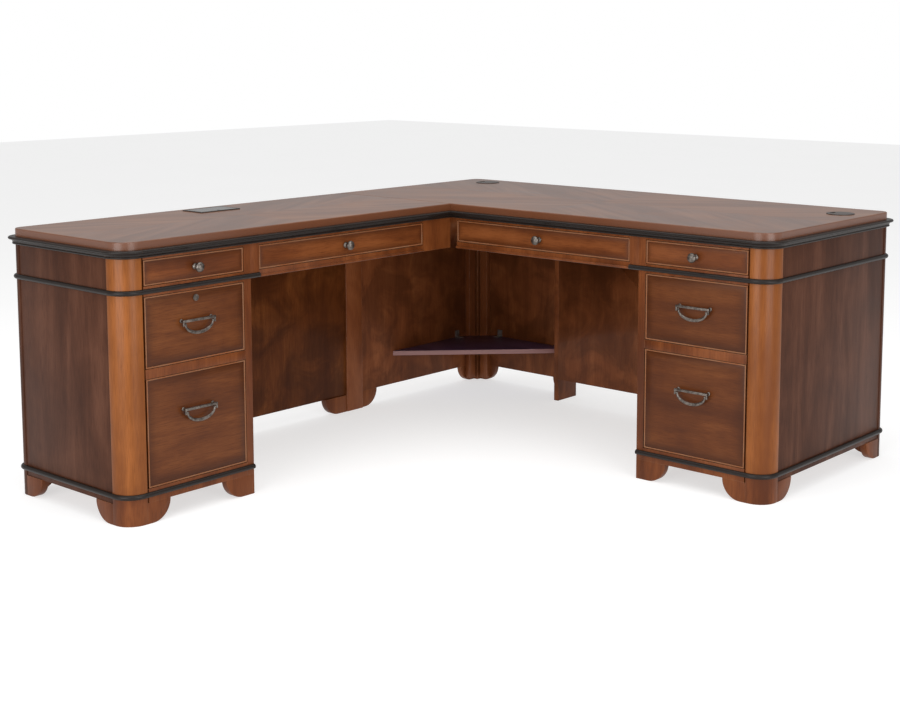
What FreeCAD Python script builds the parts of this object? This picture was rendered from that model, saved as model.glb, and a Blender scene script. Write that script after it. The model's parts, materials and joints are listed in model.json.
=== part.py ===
import FreeCAD, Part

import math
import os
import re

import Sketcher

# L-shaped executive desk: a wide desk along X with its back at +Y, and a shallower return that
# runs towards -Y from the desk's left end. Millimetres, +Z up, and the origin on the floor under
# the middle of the whole outline. All driving dimensions are in this table and reach the model
# through the spreadsheet.
DIMENSIONS = {
    # overall
    "desk_width": 1676.4,
    "desk_depth": 711.2,
    "return_length": 1270.0,
    "return_depth": 508.0,
    "desk_height": 762.0,
    # tops
    "top_thick": 22.0,
    "front_round": 55.0,
    "back_round": 30.0,
    "top_ease": 3.0,
    # mouldings under the top, at the waist and at the base
    "cornice_reach": 20.0,
    "lip_high": 8.0,
    "cove_round": 8.0,
    "astragal": 6.0,
    "astragal_set_back": 2.0,
    "bead_high": 14.0,
    "bead_lift": 1.0,
    "base_bead_rise": 15.0,
    "apron_nose": 8.0,
    # case
    "panel_thick": 18.0,
    "panel_inset": 1.5,
    "front_post": 65.0,
    "back_post": 36.0,
    "case_width": 434.0,
    "stile_wide": 24.0,
    "shadow_gap": 5.0,
    "shadow_set_back": 6.0,
    "rail_thick": 18.0,
    "apron_stile": 32.0,
    "floor_thick": 16.0,
    # fronts: gaps and heights
    "front_gap": 1.5,
    "front_thick": 20.0,
    "front_reveal": 8.0,
    "small_high": 68.0,
    "waist_gap": 30.0,
    "upper_high": 192.0,
    "middle_gap": 29.0,
    "plinth_high": 39.0,
    "desk_apron_end": 27.4,
    "return_apron_end": 129.0,
    "apron_drop": 22.0,
    # drawer boxes
    "box_wall": 12.0,
    "box_floor": 6.0,
    "floor_rise": 8.0,
    "box_low": 8.0,
    "box_top": 12.0,
    "side_room": 13.0,
    "desk_box_deep": 540.0,
    "return_box_deep": 420.0,
    "desk_pencil_deep": 420.0,
    "return_pencil_deep": 400.0,
    "ledge_wide": 26.0,
    "ledge_high": 14.0,
    "slip": 0.3,
    "overrun": 1.0,
    # drawer slides
    "slide_high": 45.0,
    "slide_wall": 1.5,
    "slide_lip": 8.5,
    "slide_play": 2.0,
    "slide_rise": 60.0,
    "batten_high": 60.0,
    # feet
    "foot_high": 58.0,
    "foot_thick": 22.0,
    "foot_wing": 75.0,
    "inner_foot": 25.0,
    "toe_flat": 0.1,
    # open side of the desk
    "corner_bay": 462.0,
    "modesty_set_back": 108.0,
    "modesty_base": 78.0,
    "end_stile_wide": 76.0,
    "end_stile_thick": 24.0,
    "corner_batten": 34.0,
    "corner_batten_thick": 20.0,
    "corner_batten_gap": 50.0,
    "batten_lift": 12.0,
    # corner shelf
    "shelf_leg": 458.0,
    "shelf_level": 176.0,
    "shelf_thick": 16.0,
    "shelf_notch": 90.0,
    "bracket_leg": 25.0,
    "bracket_wide": 22.0,
    "bracket_thick": 2.0,
    # cable grommets
    "grommet_hole": 35.0,
    "grommet_flange": 42.0,
    "grommet_lip": 2.0,
    "grommet_wall": 3.2,
    "grommet_deep": 28.0,
    "grommet_ledge": 3.0,
    "cap_thick": 3.0,
    "cap_slot": 14.0,
    "far_grommet_in": 138.0,
    "far_grommet_back": 96.0,
    "near_grommet_in": 86.0,
    "near_grommet_back": 157.0,
    # power unit in the return's top
    "power_wide": 82.0,
    "power_long": 140.0,
    "power_back": 36.0,
    "power_end": 579.0,
    "power_deep": 45.0,
    "power_wall": 2.5,
    "power_flange": 5.0,
    "lid_thick": 2.2,
    "lid_pin": 0.8,
    "lid_pin_play": 0.05,
    "cable_outlet": 8.0,
    # knobs
    "knob_round": 14.0,
    "knob_reach": 30.0,
    "knob_shoulder": 8.7,
    "knob_shoulder_drop": 1.6,
    "knob_brim_drop": 6.0,
    "knob_belly": 12.3,
    "knob_belly_rise": 2.2,
    "knob_under": 8.7,
    "knob_under_centre": 7.7,
    "knob_head": 12.0,
    "knob_flare": 2.0,
    "knob_neck": 4.5,
    "knob_neck_end": 5.0,
    "knob_foot": 8.0,
    "knob_foot_rim": 1.5,
    "stud_round": 2.0,
    "stud_play": 0.1,
    "nut_round": 5.0,
    "nut_thick": 3.0,
    # bail pulls
    "bail_room": 4.0,
    "bail_drop": 27.0,
    "bail_rod": 3.5,
    "bail_eye": 4.2,
    "bail_stand": 13.5,
    "bar_half": 55.5,
    "bar_square": 7.0,
    "lug_drop": 10.0,
    "lug_wide": 5.0,
    "bail_pin": 2.0,
    "bail_pin_play": 0.05,
    "upper_bail_down": 79.0,
    "lower_bail_down": 100.0,
    # drawer lock
    "lock_round": 7.0,
    "lock_face": 9.0,
    "lock_lip": 2.0,
    "lock_down": 21.0,
    "cam_long": 28.0,
    "cam_wide": 10.0,
    "cam_thick": 3.0,
    "key_slot": 8.0,
    "key_slot_wide": 1.4,
    "key_slot_deep": 1.5,
    # bolts that join the return to the desk
    "bolt_round": 4.0,
    "bolt_head": 8.0,
    "bolt_head_thick": 5.0,
    "bolt_play": 0.3,
}

SHEET = "Dims"
TINY = 1e-6

# Places that many pieces share, as expressions in the sheet's names.
LEFT = "(-desk_width/2)"
RIGHT = "(desk_width/2)"
BACK = "((desk_depth+return_length)/2)"
FREE_END = "(-(desk_depth+return_length)/2)"
DESK_FRONT = f"({BACK}-desk_depth)"
RETURN_FRONT = f"({LEFT}+return_depth)"
CASE_TOP = "(desk_height-top_thick)"
CORNICE_HIGH = "(astragal+cove_round+lip_high)"
CORNICE_LOW = f"({CASE_TOP}-{CORNICE_HIGH})"
SMALL_TOP = f"({CORNICE_LOW}-front_reveal)"
SMALL_LOW = f"({SMALL_TOP}-small_high)"
UPPER_TOP = f"({SMALL_LOW}-waist_gap)"
UPPER_LOW = f"({UPPER_TOP}-upper_high)"
LOWER_TOP = f"({UPPER_LOW}-middle_gap)"
LOWER_LOW = "(foot_high+plinth_high)"
WAIST_LOW = f"({SMALL_LOW}-(waist_gap+bead_high)/2)"
BASE_BEAD_LOW = "(foot_high+base_bead_rise)"
APRON_LOW = f"({SMALL_LOW}-apron_drop)"
OPENING_START = "(front_post+shadow_gap)"
OPENING_END = "(case_width-stile_wide)"
PENCIL_START = "(case_width+apron_stile)"
BAY_END = "(desk_width-corner_bay-panel_thick)"
BAY_START = "(desk_width-corner_bay)"
BAIL_HALF = "(bar_half-lug_wide-bail_room)"

doc = FreeCAD.newDocument("corner_desk")
sheet = doc.addObject("Spreadsheet::Sheet", SHEET)
nodes = []


def fill_sheet():
    for row, (name, number) in enumerate(DIMENSIONS.items(), 1):
        sheet.set(f"A{row}", name)
        sheet.set(f"B{row}", str(number))
        sheet.setAlias(f"B{row}", name)
    doc.recompute()


def bound(text):
    """The expression with each dimension's name pointed at its cell."""

    def point(word):
        name = word.group()
        return f"{SHEET}.{name}" if name in DIMENSIONS else name

    return re.sub(r"[a-z]\w*", point, str(text))


def value(text):
    return float(sheet.evalExpression(bound(text)))


def bind(item, **sizes):
    for name, text in sizes.items():
        item.setExpression(name.replace("__", "."), bound(text))


def place(item, x, y, z, turn=0.0):
    """Puts an object at an expression's point, turned about Z by so many degrees."""
    rotation = FreeCAD.Rotation(FreeCAD.Vector(0, 0, 1), turn)
    item.Placement = FreeCAD.Placement(FreeCAD.Vector(), rotation)
    bind(item, Placement__Base__x=x, Placement__Base__y=y, Placement__Base__z=z)
    return item


def node(item, label):
    """Marks an object as a sub-part that gets its own file."""
    item.Label = label
    nodes.append(item)
    return item


def group(label, pieces):
    """Several separate solids that share one sub-part."""
    item = doc.addObject("Part::Compound", label)
    item.Links = pieces
    return node(item, label)


def span(item, low, high):
    """Sizes a box by two corners, each given as three expressions."""
    length, width, height = [f"({end})-({start})" for start, end in zip(low, high)]
    bind(item, Length=length, Width=width, Height=height)


def block(label, low, high):
    item = doc.addObject("Part::Box", label)
    span(item, low, high)
    return place(item, *low)


def cylinder(label, radius, length, spot, direction=(0, 0, 1)):
    item = doc.addObject("Part::Cylinder", label)
    bind(item, Radius=radius, Height=length)
    place(item, *spot)
    item.Placement.Rotation = FreeCAD.Rotation(FreeCAD.Vector(0, 0, 1), FreeCAD.Vector(*direction))
    return item


def cut(label, base, tools):
    """The base with one or more tools taken out of it."""
    item = doc.addObject("Part::Cut", label)
    item.Base = base
    item.Tool = tools[0] if len(tools) == 1 else fuse(f"{label}_tools", tools)
    return item


def fuse(label, pieces):
    item = doc.addObject("Part::MultiFuse", label)
    item.Shapes = pieces
    return item


def edges_at(shape, sides):
    """Names of the edges that lie on the given sides of the shape's box, such as x=1 and y=-1."""
    box = shape.BoundBox
    limit = {
        "x": {1: box.XMax, -1: box.XMin},
        "y": {1: box.YMax, -1: box.YMin},
        "z": {1: box.ZMax, -1: box.ZMin},
    }
    names = []
    for number, edge in enumerate(shape.Edges, 1):
        gaps = []
        for end in edge.Vertexes:
            gaps += [abs(getattr(end.Point, axis) - limit[axis][side]) for axis, side in sides.items()]
        if max(gaps) < TINY:
            names.append(f"Edge{number}")
    return names


def rounded_block(label, low, high, rounds):
    """A box between two corners whose chosen edges are rounded: rounds holds (sides, radius) pairs."""
    body = doc.addObject("PartDesign::Body", label)
    feature = body.newObject("PartDesign::AdditiveBox", f"{label}_block")
    span(feature, low, high)
    feature.recompute()
    for number, (sides, radius) in enumerate(rounds, 1):
        base = feature
        feature = body.newObject("PartDesign::Fillet", f"{label}_round_{number}")
        feature.Base = (base, edges_at(base.Shape, sides))
        bind(feature, Radius=radius)
        feature.recompute()
    return place(body, *low)


def nearest_end(sketch, number, point):
    """Which end of a sketch's edge lies at the point: 1 for its first, 2 for its second."""
    return min((1, 2), key=lambda end: sketch.getPoint(number, end).distanceToPoint(point))


def outline(body, role, start, steps):
    """A closed sketch on one of the body's origin planes.

    start is a point, and each step is ("line", x, y) or ("arc", through_x, through_y, x, y, centre_x).
    Every corner, and every arc's centre, is held at its expression.
    """
    sketch = body.newObject("Sketcher::SketchObject", f"{body.Name}_outline")
    plane = next(item for item in body.Origin.OriginFeatures if item.Role == role)
    sketch.AttachmentSupport = [(plane, "")]
    sketch.MapMode = "FlatFace"

    def vector(x, y):
        return FreeCAD.Vector(value(x), value(y), 0)

    def hold(kind, geometry, point, text):
        number = sketch.addConstraint(Sketcher.Constraint(kind, -1, 1, geometry, point, value(text)))
        sketch.setExpression(f"Constraints[{number}]", bound(text))

    corner = start
    for step in steps:
        if step[0] == "line":
            edge = Part.LineSegment(vector(*corner), vector(*step[1:3]))
            corner = step[1:3]
        else:
            edge = Part.Arc(vector(*corner), vector(*step[1:3]), vector(*step[3:5]))
            corner = step[3:5]
        sketch.addGeometry(edge, False)
    corners = [start] + [step[-3:-1] if step[0] == "arc" else step[1:3] for step in steps]
    for number, step in enumerate(steps):
        following = (number + 1) % len(steps)
        last = nearest_end(sketch, number, vector(*corners[number + 1]))
        first = nearest_end(sketch, following, vector(*corners[number + 1]))
        sketch.addConstraint(Sketcher.Constraint("Coincident", number, last, following, first))
        hold("DistanceX", number, last, corners[number + 1][0])
        hold("DistanceY", number, last, corners[number + 1][1])
        if step[0] == "arc":
            hold("DistanceX", number, 3, step[5])
    return sketch


def pad(body, sketch, length, reversed_way=False):
    feature = body.newObject("PartDesign::Pad", f"{body.Name}_pad")
    feature.Profile = (sketch, [])
    feature.Reversed = reversed_way
    bind(feature, Length=length)
    return body


def turned(body, sketch, axis, angle="360"):
    feature = body.newObject("PartDesign::Revolution", f"{body.Name}_turn")
    feature.Profile = (sketch, [])
    feature.ReferenceAxis = (sketch, [axis])
    bind(feature, Angle=angle)
    return body


class Wing:
    """One arm of the desk, measured from its free end, back from its drawer fronts and up.

    The desk's free end is at +X and its fronts face -Y. The return's free end is at -Y and its
    fronts face +X, so the two arms mirror each other.
    """

    def __init__(self, name, length, pencil_end, depth, facing, onward, inward):
        self.name = name
        self.length = length
        self.pencil_end = pencil_end
        self.depth = depth
        self.facing = facing
        self.onward = onward
        self.inward = inward

    def spot(self, along, back):
        if self.name == "desk":
            return f"({RIGHT}-({along}))", f"({DESK_FRONT}+({back}))"
        return f"({RETURN_FRONT}-({back}))", f"({FREE_END}+({along}))"

    def corners(self, along, back, up):
        """Lowest and highest corners of a space given as three pairs."""
        near, far = self.spot(along[0], back[0]), self.spot(along[1], back[1])
        return (far[0], near[1], up[0]), (near[0], far[1], up[1])

    def block(self, label, along, back, up):
        return block(f"{self.name}_{label}", *self.corners(along, back, up))

    def rounded(self, label, along, back, up, rounds):
        return rounded_block(f"{self.name}_{label}", *self.corners(along, back, up), rounds)

    def hole(self, label, radius, along, up, depth):
        """A cylinder that runs back from the drawer fronts' face."""
        return cylinder(f"{self.name}_{label}", radius, depth, (*self.spot(along, "0"), up), self.inward)


DESK_PENCIL_END = "(desk_width-return_depth-desk_apron_end)"
RETURN_PENCIL_END = "(return_length-return_apron_end)"
DESK = Wing("desk", "desk_width", DESK_PENCIL_END, "desk_depth", 0.0, (-1, 0, 0), (0, 1, 0))
RETURN = Wing("return", "return_length", RETURN_PENCIL_END, "return_depth", 90.0, (0, 1, 0), (-1, 0, 0))


# ---------------------------------------------------------------- tops


def grommet_spots():
    far = (f"({LEFT}+far_grommet_in)", f"({BACK}-far_grommet_back)")
    near = (f"({RIGHT}-near_grommet_in)", f"({BACK}-near_grommet_back)")
    return {"far": far, "near": near}


def power_space(shrink="0"):
    """The power unit's place in the return, in the return's own measures."""
    along = (f"power_end+({shrink})", f"power_end+power_long-({shrink})")
    back = (f"return_depth-power_back-power_wide+({shrink})", f"return_depth-power_back-({shrink})")
    return along, back


def make_tops():
    low, high = DESK.corners(("0", DESK.length), ("0", DESK.depth), (CASE_TOP, "desk_height"))
    board = rounded_block(
        "desk_board",
        low,
        high,
        [
            ({"x": 1, "y": -1}, "front_round"),
            ({"x": 1, "y": 1}, "back_round"),
            ({"x": -1, "y": 1}, "back_round"),
            ({"z": 1}, "top_ease"),
        ],
    )
    below, above = f"({CASE_TOP}-top_thick/2)", "(desk_height+top_thick/2)"
    holes = [
        cylinder(f"{name}_grommet_hole", "grommet_hole", "2*top_thick", (*spot, below))
        for name, spot in grommet_spots().items()
    ]
    node(cut("desk_top_cut", board, holes), "desk_top")

    low, high = RETURN.corners(("0", RETURN.length), ("0", RETURN.depth), (CASE_TOP, "desk_height"))
    board = rounded_block(
        "return_board",
        low,
        high,
        [({"x": 1, "y": -1}, "front_round"), ({"x": -1, "y": -1}, "back_round"), ({"z": 1}, "top_ease")],
    )
    hole = RETURN.block("power_hole", *power_space(), (below, above))
    node(cut("return_top_cut", board, [hole]), "return_top")


# ---------------------------------------------------------------- mouldings


def cornice_profile(body, inner):
    """Astragal, cove and rounded lip, drawn outwards from the case's face at the given radius."""
    lip_face = f"({inner}+cornice_reach-lip_high/2)"
    cove_foot = f"({lip_face}-cove_round)"
    bead_face = f"({cove_foot}-astragal_set_back)"
    cove_low = f"({CORNICE_LOW}+astragal)"
    lip_low = f"({CASE_TOP}-lip_high)"
    slope = math.sqrt(0.5)
    return outline(
        body,
        "XZ_Plane",
        (inner, CORNICE_LOW),
        [
            ("line", bead_face, CORNICE_LOW),
            ("arc", f"{bead_face}+astragal/2", f"{CORNICE_LOW}+astragal/2", bead_face, cove_low, bead_face),
            ("line", cove_foot, cove_low),
            (
                "arc",
                f"{lip_face}-{slope}*cove_round",
                f"{cove_low}+{slope}*cove_round",
                lip_face,
                lip_low,
                lip_face,
            ),
            ("arc", f"{lip_face}+lip_high/2", f"{CASE_TOP}-lip_high/2", lip_face, CASE_TOP, lip_face),
            ("line", inner, CASE_TOP),
            ("line", inner, CORNICE_LOW),
        ],
    )


def bead_profile(low, high="bead_high"):
    """A half-round bead of the given height whose underside is at the given level."""

    def draw(body, inner):
        face = f"({inner}+bead_lift)"
        top = f"({low}+{high})"
        return outline(
            body,
            "XZ_Plane",
            (inner, low),
            [
                ("line", face, low),
                ("arc", f"{face}+{high}/2", f"{low}+{high}/2", face, top, face),
                ("line", inner, top),
                ("line", inner, low),
            ],
        )

    return draw


def mitre_tool(label, side):
    """A block whose face is the upright mitre plane at the inner corner, on one side of it."""
    size = "3*cornice_reach"
    item = doc.addObject("Part::Box", label)
    bind(item, Length=f"2*{size}", Width=size, Height="desk_height")
    slope = math.sqrt(0.5)
    shift = f"{slope}*{size}"
    if side == "desk":
        place(item, f"{RETURN_FRONT}-2*{shift}", DESK_FRONT, "0", -45.0)
    else:
        place(item, f"{RETURN_FRONT}-{shift}", f"{DESK_FRONT}+{shift}", "0", -45.0)
    return item


def moulding(label, profile, stations, mitre=None):
    """Lengths and turned corners of one moulding along stations of (x, y, corner radius).

    The stations go anticlockwise round the case, so the moulding stands out to the right of its
    way. mitre names the arm whose first or last length meets the other at the inner corner.
    """
    pieces = []
    for number in range(len(stations) - 1):
        (x, y, corner), (next_x, next_y, next_corner) = stations[number : number + 2]
        heading = math.atan2(value(next_y) - value(y), value(next_x) - value(x))
        across, along = round(math.cos(heading)), round(math.sin(heading))
        turn = math.degrees(heading) - 90.0
        run = doc.addObject("PartDesign::Body", f"{label}_run_{number + 1}")
        length = f"abs({next_x}-{x})+abs({next_y}-{y})-{corner}-{next_corner}"
        pad(run, profile(run, "0"), length, reversed_way=True)
        place(run, f"{x}+{across}*{corner}", f"{y}+{along}*{corner}", "0", turn)
        last = number == len(stations) - 2
        if (mitre == "desk" and number == 0) or (mitre == "return" and last):
            run = cut(f"{label}_mitred", run, [mitre_tool(f"{label}_mitre", mitre)])
        pieces.append(run)
        if not last:
            bend = doc.addObject("PartDesign::Body", f"{label}_turn_{number + 1}")
            turned(bend, profile(bend, next_corner), "V_Axis", "90")
            centre_x = f"{next_x}-{across}*{next_corner}-{along}*{next_corner}"
            centre_y = f"{next_y}-{along}*{next_corner}+{across}*{next_corner}"
            place(bend, centre_x, centre_y, "0", turn)
            pieces.append(bend)
    return pieces


def make_mouldings():
    inner = (RETURN_FRONT, DESK_FRONT, "0")
    desk_way = [
        inner,
        (RIGHT, DESK_FRONT, "front_round"),
        (RIGHT, BACK, "back_round"),
        (LEFT, BACK, "back_round"),
        (LEFT, DESK_FRONT, "0"),
    ]
    return_way = [
        (LEFT, DESK_FRONT, "0"),
        (LEFT, FREE_END, "back_round"),
        (RETURN_FRONT, FREE_END, "front_round"),
        inner,
    ]
    pedestal_way = [
        (f"({RIGHT}-case_width)", DESK_FRONT, "0"),
        *desk_way[1:3],
        (f"({RIGHT}-case_width)", BACK, "0"),
    ]
    corner_way = [(f"({LEFT}+corner_bay+panel_thick)", BACK, "0"), *desk_way[3:]]
    return_base_way = [*return_way[:3], (RETURN_FRONT, f"({FREE_END}+case_width)", "0")]

    group("desk_cornice", moulding("desk_cornice", cornice_profile, desk_way, "desk"))
    group("return_cornice", moulding("return_cornice", cornice_profile, return_way, "return"))
    waist, base = bead_profile(WAIST_LOW), bead_profile(BASE_BEAD_LOW)
    desk_waist_way = [(f"({RIGHT}-{PENCIL_START})", DESK_FRONT, "0"), *desk_way[1:]]
    return_waist_way = [*return_way[:3], (RETURN_FRONT, f"({FREE_END}+{PENCIL_START})", "0")]
    desk_beads = moulding("desk_waist", waist, desk_waist_way)
    desk_beads += moulding("desk_base", base, pedestal_way)
    desk_beads += moulding("corner_base", base, corner_way)
    group("desk_beads", desk_beads)
    return_beads = moulding("return_waist", waist, return_waist_way)
    return_beads += moulding("return_base", base, return_base_way)
    group("return_beads", return_beads)


# ---------------------------------------------------------------- case


def make_posts():
    """Rounded posts of the free ends, the rounded back corner, the end stile and two battens."""
    pieces = []
    full = ("0", CASE_TOP)
    for wing, back_side in ((DESK, 1), (RETURN, -1)):
        square = ("0", "front_post")
        rounds = [({"x": 1, "y": -1}, "front_round")]
        pieces.append(wing.rounded("front_post", square, square, full, rounds))
        back = (f"{wing.depth}-back_post", wing.depth)
        sides = {"x": 1, "y": 1} if wing is DESK else {"x": -1, "y": -1}
        pieces.append(wing.rounded("back_post", ("0", "back_post"), back, full, [(sides, "back_round")]))
    corner = DESK.rounded(
        "corner_post",
        ("desk_width-back_post", "desk_width"),
        ("desk_depth-back_post", "desk_depth"),
        full,
        [({"x": -1, "y": 1}, "back_round")],
    )
    stile_along = ("desk_width-end_stile_thick", "desk_width")
    stile = DESK.block("end_stile", stile_along, ("0", "end_stile_wide"), full)
    up = ("batten_lift", APRON_LOW)
    batten = ("panel_thick", "panel_thick+corner_batten_thick")
    away = ("corner_batten_gap", "corner_batten_gap+corner_batten")
    end_batten = DESK.block(
        "end_batten",
        (f"desk_width-({batten[1]})", f"desk_width-{batten[0]}"),
        (f"desk_depth-({away[1]})", f"desk_depth-{away[0]}"),
        up,
    )
    back_batten = DESK.block(
        "back_batten",
        (f"desk_width-({away[1]})", f"desk_width-{away[0]}"),
        (f"desk_depth-({batten[1]})", f"desk_depth-{batten[0]}"),
        up,
    )
    group("corner_posts", pieces + [corner, stile, end_batten, back_batten])


def make_end_panels():
    """The free ends' outer panels, set back a little between the posts."""
    for wing in (DESK, RETURN):
        along = ("panel_inset", "panel_thick")
        back = ("front_post", f"{wing.depth}-back_post")
        panel = wing.block("end_board", along, back, ("foot_high", CASE_TOP))
        node(panel, f"{wing.name}_end_panel")


def slide_levels():
    """Mid-heights of the file drawers' slides."""
    return {"upper": f"({UPPER_LOW}+slide_rise)", "lower": f"({LOWER_LOW}+slide_rise)"}


def make_pedestal_cases():
    """Inner side, back, floor, slide battens and drawer ledges of each pedestal."""
    for wing in (DESK, RETURN):
        deep = f"{wing.name}_box_deep"
        inside = f"{wing.depth}-panel_thick"
        slide_end = f"front_thick+box_wall+{deep}"
        full = ("foot_high", CASE_TOP)
        inner_board = ("case_width-panel_thick", "case_width")
        back_board = (inside, f"{wing.depth}-panel_inset")
        pieces = [
            wing.block("inner_side", inner_board, ("rail_thick", inside), full),
            wing.block("case_back", ("back_post", "case_width"), back_board, full),
            wing.block(
                "case_floor",
                ("panel_thick", "case_width-panel_thick"),
                ("front_post", f"{wing.depth}-back_post"),
                ("foot_high", "foot_high+floor_thick"),
            ),
        ]
        for level, middle in slide_levels().items():
            up = (f"{middle}-batten_high/2", f"{middle}+batten_high/2")
            for side, along in (
                ("outer", ("panel_thick", OPENING_START)),
                ("inner", (OPENING_END, "case_width-panel_thick")),
            ):
                back = ("front_post", slide_end)
                pieces.append(wing.block(f"{level}_{side}_batten", along, back, up))
        up = (f"{SMALL_LOW}+box_low-slip-ledge_high", f"{SMALL_LOW}+box_low-slip")
        for side, along in (
            ("outer", ("panel_thick", f"{OPENING_START}+ledge_wide")),
            ("inner", (f"{OPENING_END}-ledge_wide", "case_width-panel_thick")),
        ):
            pieces.append(wing.block(f"small_{side}_ledge", along, ("front_post", slide_end), up))
        group(f"{wing.name}_pedestal_case", pieces)


def make_front_frames():
    """Stiles, rails, pencil drawer hangers and ledges behind each arm's drawer fronts."""
    for wing in (DESK, RETURN):
        thick, set_back = ("0", "rail_thick"), ("shadow_set_back", "rail_thick")
        full, top_up = ("foot_high", CASE_TOP), (f"{SMALL_TOP}+front_gap", CASE_TOP)
        pencil = (PENCIL_START, wing.pencil_end)
        pieces = [
            wing.block("shadow_stile", ("front_post", OPENING_START), set_back, full),
            wing.block("stile", (OPENING_END, "case_width"), thick, full),
            wing.block("apron_stile", ("case_width", PENCIL_START), thick, (APRON_LOW, CASE_TOP)),
            wing.block("apron_rail", pencil, thick, (APRON_LOW, f"{SMALL_LOW}-front_gap")),
            wing.block("apron_top_rail", pencil, thick, top_up),
        ]
        rails = {
            "top_rail": top_up,
            "waist_rail": (f"{UPPER_TOP}+front_gap", f"{SMALL_LOW}-front_gap"),
            "middle_rail": (f"{LOWER_TOP}+front_gap", f"{UPPER_LOW}-front_gap"),
            "plinth_rail": ("foot_high", f"{LOWER_LOW}-front_gap"),
        }
        for label, up in rails.items():
            pieces.append(wing.block(label, (OPENING_START, OPENING_END), thick, up))
        if wing is RETURN:
            middle = f"({OPENING_START}+{OPENING_END})/2"
            along = (f"{middle}-cam_long", f"{middle}+cam_long")
            back = ("rail_thick", "front_thick+box_wall-slip")
            pieces.append(wing.block("lock_keeper", along, back, rails["waist_rail"]))
        near, far = wing.spot(PENCIL_START, "0"), wing.spot(wing.pencil_end, "0")
        ends = (far, near) if wing is DESK else (near, far)
        nose = bead_profile(APRON_LOW, "apron_nose")
        pieces += moulding(f"{wing.name}_apron_nose", nose, [(*end, "0") for end in ends])
        pieces += make_hangers(wing)
        pieces += make_apron_end(wing)
        group(f"{wing.name}_front_frame", pieces)


def make_hangers(wing):
    """Boards each side of the pencil drawer, with the ledges that it runs on."""
    rear = f"{wing.depth}-modesty_set_back" if wing is DESK else f"{wing.depth}-panel_thick"
    back = ("rail_thick", rear)
    ledge_up = (f"{SMALL_LOW}+box_low-slip-ledge_high", f"{SMALL_LOW}+box_low-slip")
    ledge_back = ("front_thick", f"front_thick+box_wall+{wing.name}_pencil_deep")
    end = wing.pencil_end
    spaces = {
        "near": (f"{PENCIL_START}-panel_thick", PENCIL_START, PENCIL_START, f"{PENCIL_START}+ledge_wide"),
        "far": (end, f"{end}+panel_thick", f"{end}-ledge_wide", end),
    }
    pieces = []
    for side, (board_start, board_end, ledge_start, ledge_end) in spaces.items():
        hanger_up = (APRON_LOW, CASE_TOP)
        pieces.append(wing.block(f"{side}_hanger", (board_start, board_end), back, hanger_up))
        pieces.append(wing.block(f"{side}_ledge", (ledge_start, ledge_end), ledge_back, ledge_up))
    return pieces


def bolt_spots():
    """How far in from the return's front each joining bolt is."""
    return ["return_depth/4", "return_depth/2", "3*return_depth/4"]


def bolt_holes(label):
    level = f"(({APRON_LOW}+{CASE_TOP})/2)"
    holes = []
    for number, back in enumerate(bolt_spots(), 1):
        x = f"({RETURN_FRONT}-({back}))"
        y = f"({DESK_FRONT}-2*panel_thick)"
        spot = (x, y, level)
        holes.append(cylinder(f"{label}_{number}", "bolt_round+bolt_play", "4*panel_thick", spot, (0, 1, 0)))
    return holes


def make_apron_end(wing):
    """The board from the pencil drawer to the arm's far end, and the return's bolted end board."""
    up = (APRON_LOW, CASE_TOP)
    if wing is DESK:
        along = (wing.pencil_end, "desk_width-end_stile_thick")
        board = wing.block("apron_board", along, ("0", "rail_thick"), up)
        return [cut("desk_apron_drilled", board, bolt_holes("desk_bolt_hole"))]
    board = wing.block("apron_board", (wing.pencil_end, wing.length), ("0", "rail_thick"), up)
    end = wing.block(
        "end_board",
        ("return_length-panel_thick", "return_length"),
        ("rail_thick", "return_depth-panel_thick"),
        up,
    )
    return [board, cut("return_end_drilled", end, bolt_holes("return_bolt_hole"))]


def make_back_panels():
    """The panels of the open side: modesty panel, partition, corner back, left end and return back."""
    up = ("foot_high", CASE_TOP)
    outer = ("desk_depth-panel_thick", "desk_depth-panel_inset")
    modesty = DESK.block(
        "modesty_board",
        ("case_width", BAY_END),
        ("desk_depth-modesty_set_back", "desk_depth-modesty_set_back+panel_thick"),
        ("modesty_base", CASE_TOP),
    )
    apron = DESK.block("back_apron", ("case_width", BAY_END), outer, (APRON_LOW, CASE_TOP))
    partition = DESK.block(
        "partition_board",
        (BAY_END, BAY_START),
        ("desk_depth-modesty_set_back", "desk_depth-panel_inset"),
        ("0", CASE_TOP),
    )
    group("desk_modesty_panel", [modesty, apron, partition])
    corner_back = DESK.block("corner_back_board", (BAY_START, "desk_width-back_post"), outer, up)
    node(corner_back, "desk_corner_back_panel")
    left_end = DESK.block(
        "left_end_board",
        ("desk_width-panel_thick", "desk_width-panel_inset"),
        ("end_stile_wide", "desk_depth-back_post"),
        up,
    )
    node(left_end, "desk_left_end_panel")
    board = ("return_depth-panel_thick", "return_depth-panel_inset")
    return_back = RETURN.block("back_board", ("case_width", "return_length"), board, up)
    node(return_back, "return_back_panel")


# ---------------------------------------------------------------- feet


def foot(wing, label, along, back, toe):
    """A bracket foot whose underside rounds up at its toe, named by the side of the box."""
    return wing.rounded(label, along, back, ("0", "foot_high"), [({**toe, "z": -1}, "foot_high-toe_flat")])


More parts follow.
